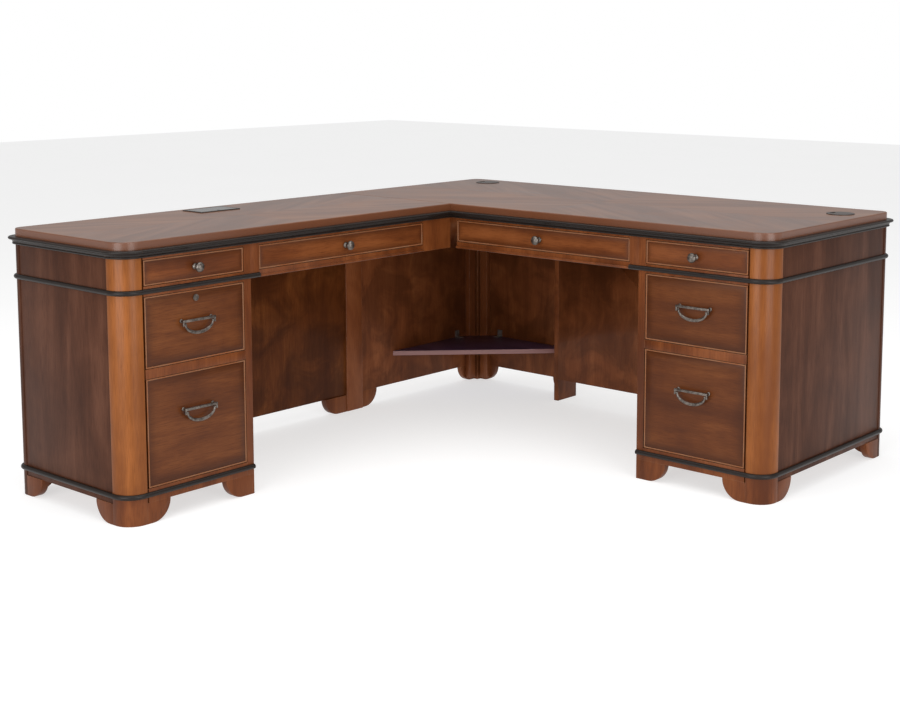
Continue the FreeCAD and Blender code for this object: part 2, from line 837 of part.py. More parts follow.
def make_feet():
    """Bracket feet: wings beside each post, and a longer foot under each inner edge."""
    feet = []
    for wing in (DESK, RETURN):
        outward = {"x": -1} if wing is DESK else {"y": 1}
        inward = {"x": 1} if wing is DESK else {"y": -1}
        backward = {"y": 1} if wing is DESK else {"x": -1}
        forward = {"y": -1} if wing is DESK else {"x": 1}
        front, rear = ("0", "foot_thick"), (f"{wing.depth}-foot_thick", wing.depth)
        end = ("0", "foot_thick")
        inner = ("case_width-inner_foot-foot_wing", "case_width")
        back_end = (f"{wing.depth}-back_post-foot_wing", f"{wing.depth}-back_post")
        feet += [
            foot(wing, "front_toe", ("front_post", "front_post+foot_wing"), front, outward),
            foot(wing, "front_end_toe", end, ("front_post", "front_post+foot_wing"), backward),
            foot(wing, "inner_front_foot", inner, front, inward),
            foot(wing, "back_end_toe", end, back_end, forward),
            foot(wing, "back_toe", ("back_post", "back_post+foot_wing"), rear, outward),
            foot(wing, "inner_back_foot", inner, rear, inward),
        ]
    left = ("desk_width-panel_thick", "desk_width")
    rear = ("desk_depth-panel_thick", "desk_depth")
    stile_toe = ("end_stile_wide", "end_stile_wide+foot_wing")
    post_toe = ("desk_depth-back_post-foot_wing", "desk_depth-back_post")
    corner_toe = ("desk_width-back_post-foot_wing", "desk_width-back_post")
    joint_along = ("return_length-inner_foot-foot_wing", "return_length")
    joint_back = ("return_depth-foot_thick", "return_depth")
    feet += [
        foot(DESK, "left_front_toe", left, stile_toe, {"y": 1}),
        foot(DESK, "left_back_toe", left, post_toe, {"y": -1}),
        foot(DESK, "corner_back_toe", corner_toe, rear, {"x": 1}),
        foot(DESK, "partition_toe", (BAY_START, f"{BAY_START}+foot_wing"), rear, {"x": -1}),
        foot(RETURN, "joint_foot", joint_along, joint_back, {"y": -1}),
    ]
    group("feet", feet)


# ---------------------------------------------------------------- corner shelf


def make_shelf():
    """Three-cornered shelf in the back corner, with its inner corner cut off behind the battens."""
    body = doc.addObject("PartDesign::Body", "corner_shelf_body")
    wall = "panel_thick"
    tip = f"(corner_bay-{wall})"
    start = (wall, f"-{wall}-shelf_notch")
    steps = [
        ("line", wall, f"-{wall}-shelf_leg"),
        ("line", f"{wall}+{tip}", f"-{wall}-shelf_leg+{tip}"),
        ("line", f"{wall}+{tip}", f"-{wall}"),
        ("line", f"{wall}+shelf_notch", f"-{wall}"),
        ("line", *start),
    ]
    pad(body, outline(body, "XY_Plane", start, steps), "shelf_thick")
    node(place(body, LEFT, BACK, "shelf_level-shelf_thick"), "corner_shelf")


def make_shelf_brackets():
    """Two small angle brackets that hold the shelf to the back panel and to the end panel."""
    middle = "(panel_thick+shelf_notch+bracket_leg)"
    top = "shelf_level"
    thin, leg = "bracket_thick", "bracket_leg"
    wide = (f"{middle}-bracket_wide/2", f"{middle}+bracket_wide/2")
    pieces = []
    for name, swap in (("back", False), ("end", True)):
        flat = [wide, ("panel_thick", f"panel_thick+{leg}"), (top, f"{top}+{thin}")]
        upright = [wide, ("panel_thick", f"panel_thick+{thin}"), (top, f"{top}+{leg}")]
        plates = []
        for part, (run, out, up) in (("flat", flat), ("upright", upright)):
            along, back = (out, run) if swap else (run, out)
            low = (f"{LEFT}+{along[0]}", f"{BACK}-({back[1]})", up[0])
            high = (f"{LEFT}+{along[1]}", f"{BACK}-({back[0]})", up[1])
            plates.append(block(f"{name}_bracket_{part}", low, high))
        pieces.append(fuse(f"{name}_bracket", plates))
    group("shelf_brackets", pieces)


# ---------------------------------------------------------------- cable fittings


def make_grommets():
    """Each grommet is a flanged liner with a ledge, and a round slotted cap that turns in it."""
    liners = []
    caps = {}
    for name, spot in grommet_spots().items():
        body = doc.addObject("PartDesign::Body", f"{name}_liner")
        outer, bore = "(grommet_hole-slip)", "(grommet_hole-slip-grommet_wall)"
        ledge = f"({bore}-grommet_ledge)"
        seat = "(grommet_lip-cap_thick-slip)"
        sketch = outline(
            body,
            "XZ_Plane",
            (ledge, "-grommet_deep"),
            [
                ("line", outer, "-grommet_deep"),
                ("line", outer, "0"),
                ("line", "grommet_flange", "0"),
                ("line", "grommet_flange", "grommet_lip"),
                ("line", bore, "grommet_lip"),
                ("line", bore, seat),
                ("line", ledge, seat),
                ("line", ledge, "-grommet_deep"),
            ],
        )
        liners.append(place(turned(body, sketch, "V_Axis"), *spot, "desk_height"))
        low = "(desk_height+grommet_lip-cap_thick)"
        disc = cylinder(f"{name}_disc", f"{bore}-slip", "cap_thick", (*spot, low))
        slot_spot = (f"{spot[0]}-{bore}", spot[1], f"{low}-cap_thick")
        slot = cylinder(f"{name}_cap_slot", "cap_slot", "3*cap_thick", slot_spot)
        caps[name] = cut(f"{name}_cap_cut", disc, [slot])
    group("grommet_liners", liners)
    for name, cap in caps.items():
        node(cap, f"{name}_grommet_cap")


def make_power_unit():
    """A flush cable well with a flange, a cable outlet in its floor and a lid hinged on wire pins."""
    along, back = power_space("slip")
    top = "(desk_height+lid_thick+slip)"
    well = RETURN.block("power_well", along, back, (f"{top}-power_deep", top))
    wide_along, wide_back = power_space("-power_flange")
    flange = RETURN.block("power_rim", wide_along, wide_back, ("desk_height", top))
    inner_along, inner_back = power_space("slip+power_wall")
    hollow_up = (f"{top}-power_deep+power_wall", f"{top}+overrun")
    hollow = RETURN.block("power_hollow", inner_along, inner_back, hollow_up)
    outlet_spot = RETURN.spot("power_end+power_long/2", f"{inner_back[1]}-2*cable_outlet")
    outlet_low = f"{top}-power_deep-power_wall"
    outlet = cylinder("power_outlet", "cable_outlet", "3*power_wall", (*outlet_spot, outlet_low))
    pin_level = f"({top}-lid_thick/2)"
    pin_back = f"({inner_back[1]}-2*slip-lid_thick/2)"
    bore_spot = (*RETURN.spot(f"{inner_along[0]}-power_wall", pin_back), pin_level)
    bore_long = f"({inner_along[1]}-({inner_along[0]})+2*power_wall)"
    bore = cylinder("lid_pin_bore", "lid_pin+lid_pin_play", bore_long, bore_spot, (0, 1, 0))
    unit = cut("power_unit_cut", fuse("power_shell", [well, flange]), [hollow, outlet, bore])
    node(unit, "power_unit")

    lid_along = (f"{inner_along[0]}+slip", f"{inner_along[1]}-slip")
    lid_back = (f"{inner_back[0]}+slip", pin_back)
    leaf = RETURN.block("lid_leaf", lid_along, lid_back, (f"{top}-lid_thick", top))
    knuckle_spot = (*RETURN.spot(lid_along[0], pin_back), pin_level)
    knuckle_long = f"({lid_along[1]}-({lid_along[0]}))"
    knuckle = cylinder("lid_knuckle", "lid_thick/2", knuckle_long, knuckle_spot, (0, 1, 0))
    pin_spot = (*RETURN.spot(f"{inner_along[0]}-power_wall+slip", pin_back), pin_level)
    pin = cylinder("lid_pin_wire", "lid_pin", f"({bore_long}-2*slip)", pin_spot, (0, 1, 0))
    grip_spot = (*RETURN.spot("power_end+power_long/2", lid_back[0]), f"{top}-2*lid_thick")
    grip = cylinder("lid_grip", "cable_outlet", "3*lid_thick", grip_spot)
    lid = cut("power_lid_cut", fuse("power_lid_whole", [leaf, knuckle, pin]), [grip])
    node(lid, "power_unit_lid")


def make_joining_bolts():
    """Three bolts with nuts that hold the return's end board to the desk's apron."""
    level = f"(({APRON_LOW}+{CASE_TOP})/2)"
    pieces = []
    for number, back in enumerate(bolt_spots(), 1):
        x = f"({RETURN_FRONT}-({back}))"
        start = (x, f"({DESK_FRONT}-panel_thick-bolt_head_thick)", level)
        end = (x, f"{DESK_FRONT}+rail_thick", level)
        long = "panel_thick+rail_thick+2*bolt_head_thick"
        shank = cylinder(f"bolt_shank_{number}", "bolt_round", long, start, (0, 1, 0))
        head = cylinder(f"bolt_head_{number}", "bolt_head", "bolt_head_thick", start, (0, 1, 0))
        nut = cylinder(f"bolt_nut_{number}", "bolt_head", "bolt_head_thick", end, (0, 1, 0))
        pieces.append(fuse(f"bolt_{number}", [shank, head, nut]))
    group("joining_bolts", pieces)


# ---------------------------------------------------------------- drawers


class Drawer:
    """One drawer: its place in its arm, its front's heights and its box."""

    def __init__(self, wing, name, along, low, high, deep, pull, pull_down=None):
        self.wing = wing
        self.name = f"{wing.name}_{name}"
        self.along = along
        self.low = low
        self.high = high
        self.deep = deep
        self.pull = pull
        self.pull_down = pull_down

    def middle(self):
        return f"(({self.along[0]}+{self.along[1]})/2)"


def all_drawers():
    pedestal = (OPENING_START, OPENING_END)
    drawers = []
    for wing in (DESK, RETURN):
        pencil = (PENCIL_START, wing.pencil_end)
        deep = f"{wing.name}_box_deep"
        drawers += [
            Drawer(wing, "pencil_drawer", pencil, SMALL_LOW, SMALL_TOP, f"{wing.name}_pencil_deep", "knob"),
            Drawer(wing, "small_drawer", pedestal, SMALL_LOW, SMALL_TOP, deep, "knob"),
            Drawer(wing, "upper_drawer", pedestal, UPPER_LOW, UPPER_TOP, deep, "bail", "upper_bail_down"),
            Drawer(wing, "lower_drawer", pedestal, LOWER_LOW, LOWER_TOP, deep, "bail", "lower_bail_down"),
        ]
    return drawers


def pull_holes(drawer):
    """Holes through front and box for the pull's studs, and for the lock where there is one."""
    wing, middle = drawer.wing, drawer.middle()
    through = "front_thick+2*box_wall"
    if drawer.pull == "knob":
        level = f"(({drawer.low}+{drawer.high})/2)"
        return [("stud_hole", "stud_round+stud_play", middle, level, through)]
    level = f"({drawer.high}-{drawer.pull_down})"
    holes = []
    for side, sign in (("first", "-"), ("second", "+")):
        along = f"{middle}{sign}(bar_half-lug_wide)"
        holes.append((f"{side}_stud_hole", "stud_round+stud_play", along, level, through))
    if wing is RETURN and "upper" in drawer.name:
        holes.append(("lock_hole", "lock_round+slip", middle, f"({drawer.high}-lock_down)", through))
    return holes


def drilled(drawer, label, board):
    tools = [
        drawer.wing.hole(f"{drawer.name}_{label}_{name}", radius, along, up, depth)
        for name, radius, along, up, depth in pull_holes(drawer)
    ]
    return cut(f"{drawer.name}_{label}_drilled", board, tools)


def make_front(drawer):
    along = (f"{drawer.along[0]}+front_gap", f"{drawer.along[1]}-front_gap")
    board = drawer.wing.block(f"{drawer.name}_slab", along, ("0", "front_thick"), (drawer.low, drawer.high))
    node(drilled(drawer, "front", board), f"{drawer.name}_front")


def box_space(drawer):
    along = (f"({drawer.along[0]}+side_room)", f"({drawer.along[1]}-side_room)")
    back = ("front_thick", f"(front_thick+{drawer.deep})")
    up = (f"({drawer.low}+box_low)", f"({drawer.high}-box_top)")
    return along, back, up


def make_box(drawer):
    """Sub-front, two sides, back and floor, as separate boards that meet face to face."""
    wing, name = drawer.wing, drawer.name
    along, back, up = box_space(drawer)
    inner = (f"{along[0]}+box_wall", f"{along[1]}-box_wall")
    sub_front = wing.block(f"{name}_sub_front", inner, (back[0], f"{back[0]}+box_wall"), up)
    pieces = [
        drilled(drawer, "sub_front", sub_front),
        wing.block(f"{name}_near_side", (along[0], inner[0]), back, up),
        wing.block(f"{name}_far_side", (inner[1], along[1]), back, up),
        wing.block(f"{name}_rear", inner, (f"{back[1]}-box_wall", back[1]), up),
        wing.block(
            f"{name}_floor",
            inner,
            (f"{back[0]}+box_wall", f"{back[1]}-box_wall"),
            (f"{up[0]}+floor_rise", f"{up[0]}+floor_rise+box_floor"),
        ),
    ]
    group(f"{name}_box", pieces)


def make_knob(drawer):
    """Turned knob with its stud, and the nut inside the drawer."""
    body = doc.addObject("PartDesign::Body", f"{drawer.name}_knob_body")
    inside = "(front_thick+box_wall)"
    head_back = "(-knob_reach+knob_head)"
    stud_end = f"{inside}+nut_thick+overrun"
    brim = ("knob_round", "-knob_reach+knob_brim_drop")
    under = ("knob_under", head_back)
    sketch = outline(
        body,
        "XY_Plane",
        ("0", "-knob_reach"),
        [
            ("arc", "knob_shoulder", "-knob_reach+knob_shoulder_drop", *brim, "0"),
            ("arc", "knob_belly", f"{head_back}-knob_belly_rise", *under, "knob_under_centre"),
            ("line", "knob_neck", f"{head_back}+knob_flare"),
            ("line", "knob_neck", "-knob_neck_end"),
            ("line", "knob_foot", "-knob_foot_rim"),
            ("line", "knob_foot", "0"),
            ("line", "stud_round", "0"),
            ("line", "stud_round", stud_end),
            ("line", "0", stud_end),
            ("line", "0", "-knob_reach"),
        ],
    )
    turned(body, sketch, "V_Axis")
    level = f"(({drawer.low}+{drawer.high})/2)"
    place(body, *drawer.wing.spot(drawer.middle(), "0"), level, drawer.wing.facing)
    nut = pull_nut(drawer, "knob", drawer.middle(), level)
    group(f"{drawer.name}_knob", [body, nut])


def pull_nut(drawer, label, along, level):
    """A round nut on the stud, against the inner face of the drawer box."""
    wing, name = drawer.wing, f"{drawer.name}_{label}_nut"
    spot = (*wing.spot(along, "front_thick+box_wall"), level)
    disc = cylinder(f"{name}_disc", "nut_round", "nut_thick", spot, wing.inward)
    bore = cylinder(f"{name}_bore", "stud_round+stud_play", "nut_thick", spot, wing.inward)
    return cut(f"{drawer.name}_{label}_nut", disc, [bore])


def make_bail_mount(drawer):
    """A straight bar on two pads, with a lug at each end that holds the bail's pin."""
    wing, name = drawer.wing, drawer.name
    level = f"({drawer.high}-{drawer.pull_down})"
    middle = drawer.middle()
    near, far = "-(bail_stand+bar_square/2)", "-(bail_stand-bar_square/2)"
    half = "bar_square/2"
    bar_along = (f"{middle}-bar_half", f"{middle}+bar_half")
    pieces = [wing.block(f"{name}_bar", bar_along, (near, far), (f"{level}-{half}", f"{level}+{half}"))]
    pad_long = "bail_stand-bar_square/2+overrun"
    stud_long = "front_thick+box_wall+nut_thick+2*overrun"
    for side, sign in (("first", "-"), ("second", "+")):
        stud_along = f"{middle}{sign}(bar_half-lug_wide)"
        edges = sorted((f"{middle}{sign}bar_half", stud_along), key=value)
        lug_low = f"{level}-{half}-lug_drop"
        pieces.append(wing.block(f"{name}_{side}_lug", edges, (near, far), (lug_low, f"{level}-{half}")))
        pad_spot = (*wing.spot(stud_along, f"{far}-overrun"), level)
        pieces.append(cylinder(f"{name}_{side}_pad", half, pad_long, pad_spot, wing.inward))
        stud_spot = (*wing.spot(stud_along, "-overrun"), level)
        pieces.append(cylinder(f"{name}_{side}_stud", "stud_round", stud_long, stud_spot, wing.inward))
    axis_spot = (*wing.spot(f"{middle}-bar_half-overrun", "-bail_stand"), f"({level}-{half}-lug_drop/2)")
    bore_long = "2*(bar_half+overrun)"
    bore = cylinder(f"{name}_lug_bore", "bail_pin+bail_pin_play", bore_long, axis_spot, wing.onward)
    mount = cut(f"{name}_mount_cut", fuse(f"{name}_mount_whole", pieces), [bore])
    nuts = [
        pull_nut(drawer, f"{side}_mount", f"{middle}{sign}(bar_half-lug_wide)", level)
        for side, sign in (("first", "-"), ("second", "+"))
    ]
    group(f"{name}_bail_mount", [mount, *nuts])


def make_bail(drawer):
    """A half-moon rod that hangs from two pins on the mount's lugs."""
    wing, name = drawer.wing, drawer.name
    sweep = f"({BAIL_HALF}*{BAIL_HALF}+bail_drop*bail_drop)/(2*bail_drop)"
    axis_level = f"({drawer.high}-{drawer.pull_down}-bar_square/2-lug_drop/2)"
    body = doc.addObject("PartDesign::Body", f"{name}_bail_rod")
    sketch = body.newObject("Sketcher::SketchObject", f"{name}_bail_section")
    plane = next(item for item in body.Origin.OriginFeatures if item.Role == "YZ_Plane")
    sketch.AttachmentSupport = [(plane, "")]
    sketch.MapMode = "FlatFace"
    middle = FreeCAD.Vector(0, -value(sweep), 0)
    sketch.addGeometry(Part.Circle(middle, FreeCAD.Vector(0, 0, 1), value("bail_rod")), False)
    sketch.addConstraint(Sketcher.Constraint("PointOnObject", 0, 3, -2))
    depth = sketch.addConstraint(Sketcher.Constraint("DistanceY", -1, 1, 0, 3, -value(sweep)))
    sketch.setExpression(f"Constraints[{depth}]", bound(f"-({sweep})"))
    radius = sketch.addConstraint(Sketcher.Constraint("Radius", 0, value("bail_rod")))
    sketch.setExpression(f"Constraints[{radius}]", bound("bail_rod"))
    feature = body.newObject("PartDesign::Revolution", f"{name}_bail_turn")
    feature.Profile = (sketch, [])
    feature.ReferenceAxis = (sketch, ["H_Axis"])
    feature.Midplane = True
    bind(feature, Angle=f"2*asin({BAIL_HALF}/({sweep}))")
    spot = wing.spot(drawer.middle(), "-bail_stand")
    place(body, *spot, f"{axis_level}-bail_drop+{sweep}", wing.facing)
    rounds = {
        "eye": ("bail_eye", f"({BAIL_HALF}-bail_rod)", "(bar_half-lug_wide-slip)"),
        "pin": ("bail_pin", BAIL_HALF, "(bar_half-slip)"),
    }
    pieces = [body]
    for side, sign in (("first", "-"), ("second", "+")):
        for part, (radius, *ends) in rounds.items():
            start, end = sorted([f"{drawer.middle()}{sign}{reach}" for reach in ends], key=value)
            end_spot = (*wing.spot(start, "-bail_stand"), axis_level)
            long = f"({end})-({start})"
            pieces.append(cylinder(f"{name}_{side}_{part}", radius, long, end_spot, wing.onward))
    node(fuse(f"{name}_bail_whole", pieces), f"{name}_bail")


def make_lock(drawer):
    """Cam lock in the return's upper drawer: a turning barrel with a key slot and a cam."""
    body = doc.addObject("PartDesign::Body", "lock_barrel")
    inside = "(front_thick+box_wall)"
    sketch = outline(
        body,
        "XY_Plane",
        ("0", "-slip-lock_lip"),
        [
            ("line", "lock_face", "-slip-lock_lip"),
            ("line", "lock_face", "-slip"),
            ("line", "lock_round", "-slip"),
            ("line", "lock_round", f"{inside}+slip"),
            ("line", "0", f"{inside}+slip"),
            ("line", "0", "-slip-lock_lip"),
        ],
    )
    turned(body, sketch, "V_Axis")
    level = f"({drawer.high}-lock_down)"
    middle = drawer.middle()
    place(body, *drawer.wing.spot(middle, "0"), level, drawer.wing.facing)
    cam = drawer.wing.block(
        "lock_cam",
        (f"{middle}-cam_wide/2", f"{middle}+cam_long"),
        (f"{inside}+slip", f"{inside}+slip+cam_thick"),
        (f"{level}-cam_wide/2", f"{level}+cam_wide/2"),
    )
    slot = drawer.wing.block(
        "key_slot",
        (f"{middle}-key_slot_wide/2", f"{middle}+key_slot_wide/2"),
        ("-slip-2*lock_lip", "-slip-lock_lip+key_slot_deep"),
        (f"{level}-key_slot/2", f"{level}+key_slot/2"),
    )
    node(cut("lock_cut", fuse("lock_whole", [body, cam]), [slot]), "lock_cylinder")


def channel(wing, label, along, back, middle, half, opening):
    """A thin channel along the depth: a web on one side and two lips towards the opening."""
    near, far = along
    web = (near, f"{near}+slide_wall") if opening == "far" else (f"{far}-slide_wall", far)
    web_up = (f"{middle}-{half}", f"{middle}+{half}")
    plates = [wing.block(f"{label}_web", web, back, web_up)]
    for side, up in (
        ("lower", (f"{middle}-{half}", f"{middle}-{half}+slide_wall")),
        ("upper", (f"{middle}+{half}-slide_wall", f"{middle}+{half}")),
    ):
        plates.append(wing.block(f"{label}_{side}_lip", along, back, up))
    return fuse(label, plates)


def make_slides():
    """Steel slides of the file drawers: a fixed channel each side, and one on the drawer inside it."""
    fixed = []
    half = "(slide_high/2)"
    inner_half = f"({half}-slide_wall-slide_play)"
    for drawer in all_drawers():
        if drawer.pull != "bail":
            continue
        wing = drawer.wing
        middle = f"({drawer.low}+slide_rise)"
        back = ("front_thick+box_wall", f"front_thick+{drawer.deep}")
        lip = "(slide_wall+slide_lip)"
        start, end = drawer.along
        box_start, box_end = f"({start}+side_room)", f"({end}-side_room)"
        places = {
            "near": ((start, f"{start}+{lip}"), (f"{box_start}-{lip}", box_start), "far"),
            "far": ((f"{end}-{lip}", end), (box_end, f"{box_end}+{lip}"), "near"),
        }
        moving = []
        for side, (fixed_along, moving_along, opening) in places.items():
            label = f"{drawer.name}_{side}"
            fixed.append(channel(wing, f"{label}_fixed", fixed_along, back, middle, half, opening))
            runner = channel(wing, f"{label}_moving", moving_along, back, middle, inner_half, side)
            moving.append(runner)
        group(f"{drawer.name}_runners", moving)
    group("cabinet_slides", fixed)


def make_drawers():
    for drawer in all_drawers():
        make_front(drawer)
        make_box(drawer)
        if drawer.pull == "knob":
            make_knob(drawer)
        else:
            make_bail_mount(drawer)
            make_bail(drawer)
        if drawer.name == "return_upper_drawer":
            make_lock(drawer)


# ---------------------------------------------------------------- checks and files


def check_model():
    doc.recompute()
    failed = [item.Name for item in doc.Objects if "Invalid" in item.State or "Error" in item.State]
    if failed:
        raise RuntimeError(f"failed objects: {failed}")
    failed = []
    for item in nodes:
        if item.Shape.isNull() or not item.Shape.isValid() or not item.Shape.Solids:
            failed.append(item.Label)
    if failed:
        raise RuntimeError(f"sub-parts with no valid solid: {failed}")


def write_files():
    os.makedirs("parts", exist_ok=True)
    for item in nodes:
        item.Shape.exportStep(f"parts/{item.Label}.step")
    print(f"{len(nodes)} sub-parts")


fill_sheet()
make_tops()
make_mouldings()
make_posts()
make_end_panels()
make_pedestal_cases()
make_front_frames()
make_back_panels()
make_feet()
make_shelf()
make_shelf_brackets()
make_grommets()
make_power_unit()
make_joining_bolts()
make_drawers()
make_slides()
check_model()
write_files()
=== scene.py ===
import json
import math

import bmesh
import bpy
from mathutils import Matrix, Vector


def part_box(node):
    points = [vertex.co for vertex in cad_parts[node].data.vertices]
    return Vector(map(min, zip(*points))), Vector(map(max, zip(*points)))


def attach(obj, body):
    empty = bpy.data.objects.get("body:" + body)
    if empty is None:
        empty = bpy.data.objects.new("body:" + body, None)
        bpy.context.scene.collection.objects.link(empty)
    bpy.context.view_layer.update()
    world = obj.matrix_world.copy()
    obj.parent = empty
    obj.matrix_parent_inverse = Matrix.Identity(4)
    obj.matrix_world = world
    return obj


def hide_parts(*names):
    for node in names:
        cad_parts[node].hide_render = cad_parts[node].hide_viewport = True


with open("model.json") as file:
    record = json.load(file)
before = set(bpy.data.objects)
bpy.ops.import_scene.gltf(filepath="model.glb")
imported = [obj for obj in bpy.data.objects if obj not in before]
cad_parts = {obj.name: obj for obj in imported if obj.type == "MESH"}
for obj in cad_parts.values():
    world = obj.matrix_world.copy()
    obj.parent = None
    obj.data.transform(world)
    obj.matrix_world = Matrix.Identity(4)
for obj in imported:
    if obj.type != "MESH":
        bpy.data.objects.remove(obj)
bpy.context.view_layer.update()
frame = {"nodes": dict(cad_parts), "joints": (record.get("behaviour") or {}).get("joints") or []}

MM = 0.001  # sizes in this file are in metres, or in millimetres before they are multiplied by MM
X, Y, Z = 0, 1, 2
ARMS = ("desk", "return")
KNOB_DRAWERS = ("pencil_drawer", "small_drawer")
BAIL_DRAWERS = ("upper_drawer", "lower_drawer")
FACING = {"desk": 0.0, "return": math.radians(90)}


# ---------------------------------------------------------------- shader sums

# sockets of a colour Mix node, which share their names and so go by number
MIX_SHARE, MIX_FIRST, MIX_SECOND, MIX_COLOUR = 0, 6, 7, 2
WEAR_SAMPLES = 4
EDGE_TURN = (0.01, 0.16)


class Sum:
    """A shader socket in a sum: each operator puts a Math node behind it."""

    def __init__(self, finish, socket):
        self.finish = finish
        self.socket = socket

    def math(self, operation, *others):
        values = dict(enumerate((self, *others)))
        return self.finish.node("ShaderNodeMath", {"operation": operation}, values)

    def __add__(self, other):
        return self.math("ADD", other)

    def __sub__(self, other):
        return self.math("SUBTRACT", other)

    def __rsub__(self, other):
        return self * -1 + other

    def __mul__(self, other):
        return self.math("MULTIPLY", other)

    __radd__ = __add__
    __rmul__ = __mul__

    def between(self, low, high):
        """0 at low, 1 at high, with a soft start and end."""
        settings = {"interpolation_type": "SMOOTHSTEP"}
        return self.finish.node("ShaderNodeMapRange", settings, {"Value": self, 1: low, 2: high})


class Finish:
    """One material and the nodes behind its surface."""

    def __init__(self, name):
        self.material = bpy.data.materials.new(name)
        self.material.use_nodes = True
        self.tree = self.material.node_tree
        self.surface = self.tree.nodes["Principled BSDF"]
        self.place = self.node("ShaderNodeTexCoord", output="Object")

    def node(self, kind, settings=None, values=None, output=0):
        """A node with its settings made first, then its sockets' values or links."""
        made = self.tree.nodes.new(kind)
        for name, setting in (settings or {}).items():
            setattr(made, name, setting)
        for socket, value in (values or {}).items():
            self.feed(made.inputs[socket], value)
        return Sum(self, made.outputs[output])

    def feed(self, socket, value):
        if isinstance(value, Sum):
            self.tree.links.new(value.socket, socket)
        else:
            socket.default_value = value

    def set(self, **values):
        """Surface sockets by name, with an underscore for each space."""
        for name, value in values.items():
            self.feed(self.surface.inputs[name.replace("_", " ")], value)

    def stretched(self, scale, place=None):
        values = {0: place or self.place, 1: scale}
        return self.node("ShaderNodeVectorMath", {"operation": "MULTIPLY"}, values)

    def noise(self, scale, detail=3.0, roughness=0.5, distortion=0.0, place=None):
        """Noise from 0 to 1, finer along the axes where the scale is larger."""
        values = {
            "Vector": self.stretched(scale, place),
            "Scale": 1.0,
            "Detail": detail,
            "Roughness": roughness,
            "Distortion": distortion,
        }
        return self.node("ShaderNodeTexNoise", None, values)

    def mix(self, share, first, second):
        settings = {"data_type": "RGBA", "blend_type": "MIX"}
        values = {MIX_SHARE: share, MIX_FIRST: first, MIX_SECOND: second}
        return self.node("ShaderNodeMix", settings, values, MIX_COLOUR)

    def ramp(self, share, tones):
        """Evenly spaced colours from 0 to 1."""
        made = self.node("ShaderNodeValToRGB", None, {"Fac": share})
        ramp = made.socket.node.color_ramp
        while len(ramp.elements) < len(tones):
            ramp.elements.new(0.5)
        for number, tone in enumerate(tones):
            ramp.elements[number].position = number / (len(tones) - 1)
            ramp.elements[number].color = (*tone, 1.0)
        return made

    def split(self, vector):
        made = self.node("ShaderNodeSeparateXYZ", None, {0: vector})
        return [Sum(self, output) for output in made.socket.node.outputs]

    def facing_up(self):
        """The upright part of the surface's direction."""
        return self.split(self.node("ShaderNodeNewGeometry", output="Normal"))[Z]

    def bump(self, height, distance):
        values = {"Height": height, "Distance": distance, "Strength": 1.0}
        self.set(Normal=self.node("ShaderNodeBump", None, values))

    def edge_wear_and_highlight(self, reach):
        """1 on corners and edges within reach, where wear or a painted highlight goes, 0 on flat
        stretches.
        """
        soft = self.node("ShaderNodeBevel", {"samples": WEAR_SAMPLES}, {"Radius": reach})
        true = self.node("ShaderNodeNewGeometry", output="True Normal")
        settings = {"operation": "DOT_PRODUCT"}
        likeness = self.node("ShaderNodeVectorMath", settings, {0: soft, 1: true}, "Value")
        return (1 - likeness).between(*EDGE_TURN)


# ---------------------------------------------------------------- finishes

CHERRY = ((0.070, 0.017, 0.004), (0.128, 0.034, 0.008), (0.200, 0.060, 0.016))
CHERRY_DEEP = ((0.054, 0.013, 0.003), (0.098, 0.0265, 0.0055), (0.150, 0.046, 0.011))
CHERRY_DARK = ((0.036, 0.012, 0.006), (0.066, 0.024, 0.0125), (0.102, 0.040, 0.022))
CHERRY_LIGHT = ((0.130, 0.035, 0.006), (0.200, 0.060, 0.011), (0.275, 0.088, 0.020))
# The inner tone is lighter than the end panels' tone: painted light that offsets the shade under the top
# in the kneehole.
CHERRY_INNER_PAINTED_LIGHT = ((0.095, 0.026, 0.008), (0.160, 0.046, 0.014), (0.230, 0.074, 0.025))
TOP_TONES = ((0.085, 0.026, 0.008), (0.140, 0.048, 0.016), (0.200, 0.078, 0.030))
SHELF_TONES = ((0.055, 0.030, 0.080), (0.088, 0.050, 0.130), (0.125, 0.075, 0.170))
MAPLE = ((0.36, 0.22, 0.11), (0.48, 0.31, 0.17), (0.58, 0.40, 0.24))
BEAD_TAN = (0.205, 0.092, 0.044)
# The battens' edge tone is a painted highlight along their edges.
BATTEN_EDGE_HIGHLIGHT = (0.42, 0.24, 0.18)
SHELF_EDGE = (0.30, 0.14, 0.13)
TOP_EDGE = (0.120, 0.038, 0.013)
LACQUER_BLACK = ((0.007, 0.005, 0.004), (0.016, 0.011, 0.009))
LACQUER_WORN_AND_HIGHLIGHT = (0.12, 0.055, 0.028)
PEWTER_TONES = ((0.075, 0.064, 0.056), (0.20, 0.175, 0.155))
PEWTER_RUBBED = (0.46, 0.41, 0.36)
ZINC_TONES = ((0.42, 0.42, 0.41), (0.60, 0.60, 0.58))
BROWN_TONES = ((0.020, 0.012, 0.009), (0.034, 0.020, 0.014))
GREY_TONES = ((0.10, 0.095, 0.09), (0.14, 0.135, 0.13))
FLOOR_TONES = ((0.44, 0.44, 0.44), (0.47, 0.47, 0.47))
WHITE = (1.0, 1.0, 1.0, 1.0)
WOOD_SPREAD = (0.30, 0.72)
EDGE_WEAR_AND_HIGHLIGHT_REACH = 1.6 * MM
LACQUER_WEAR_AND_HIGHLIGHT_REACH = 1.2 * MM
PEWTER_WEAR_REACH = 0.9 * MM
WOOD_BUMP = 0.10 * MM
TOP_BUMP = 0.08 * MM
SHELF_BUMP = 0.06 * MM
LACQUER_BUMP = 0.05 * MM
BEAD_BUMP = 0.04 * MM
METAL_BUMP = 0.10 * MM
PLATE_BUMP = 0.03 * MM


def solid(tone, share=1.0):
    """A tone as a colour with full cover, darker where share is under 1."""
    return (*[share * part for part in tone], 1.0)


def even(scale):
    """A noise scale that is the same every way."""
    return (scale, scale, scale)


def along_grain(grain, along, across):
    """A noise scale that is coarse along the grain and fine across it."""
    scale = [across] * 3
    scale[grain] = along
    return scale


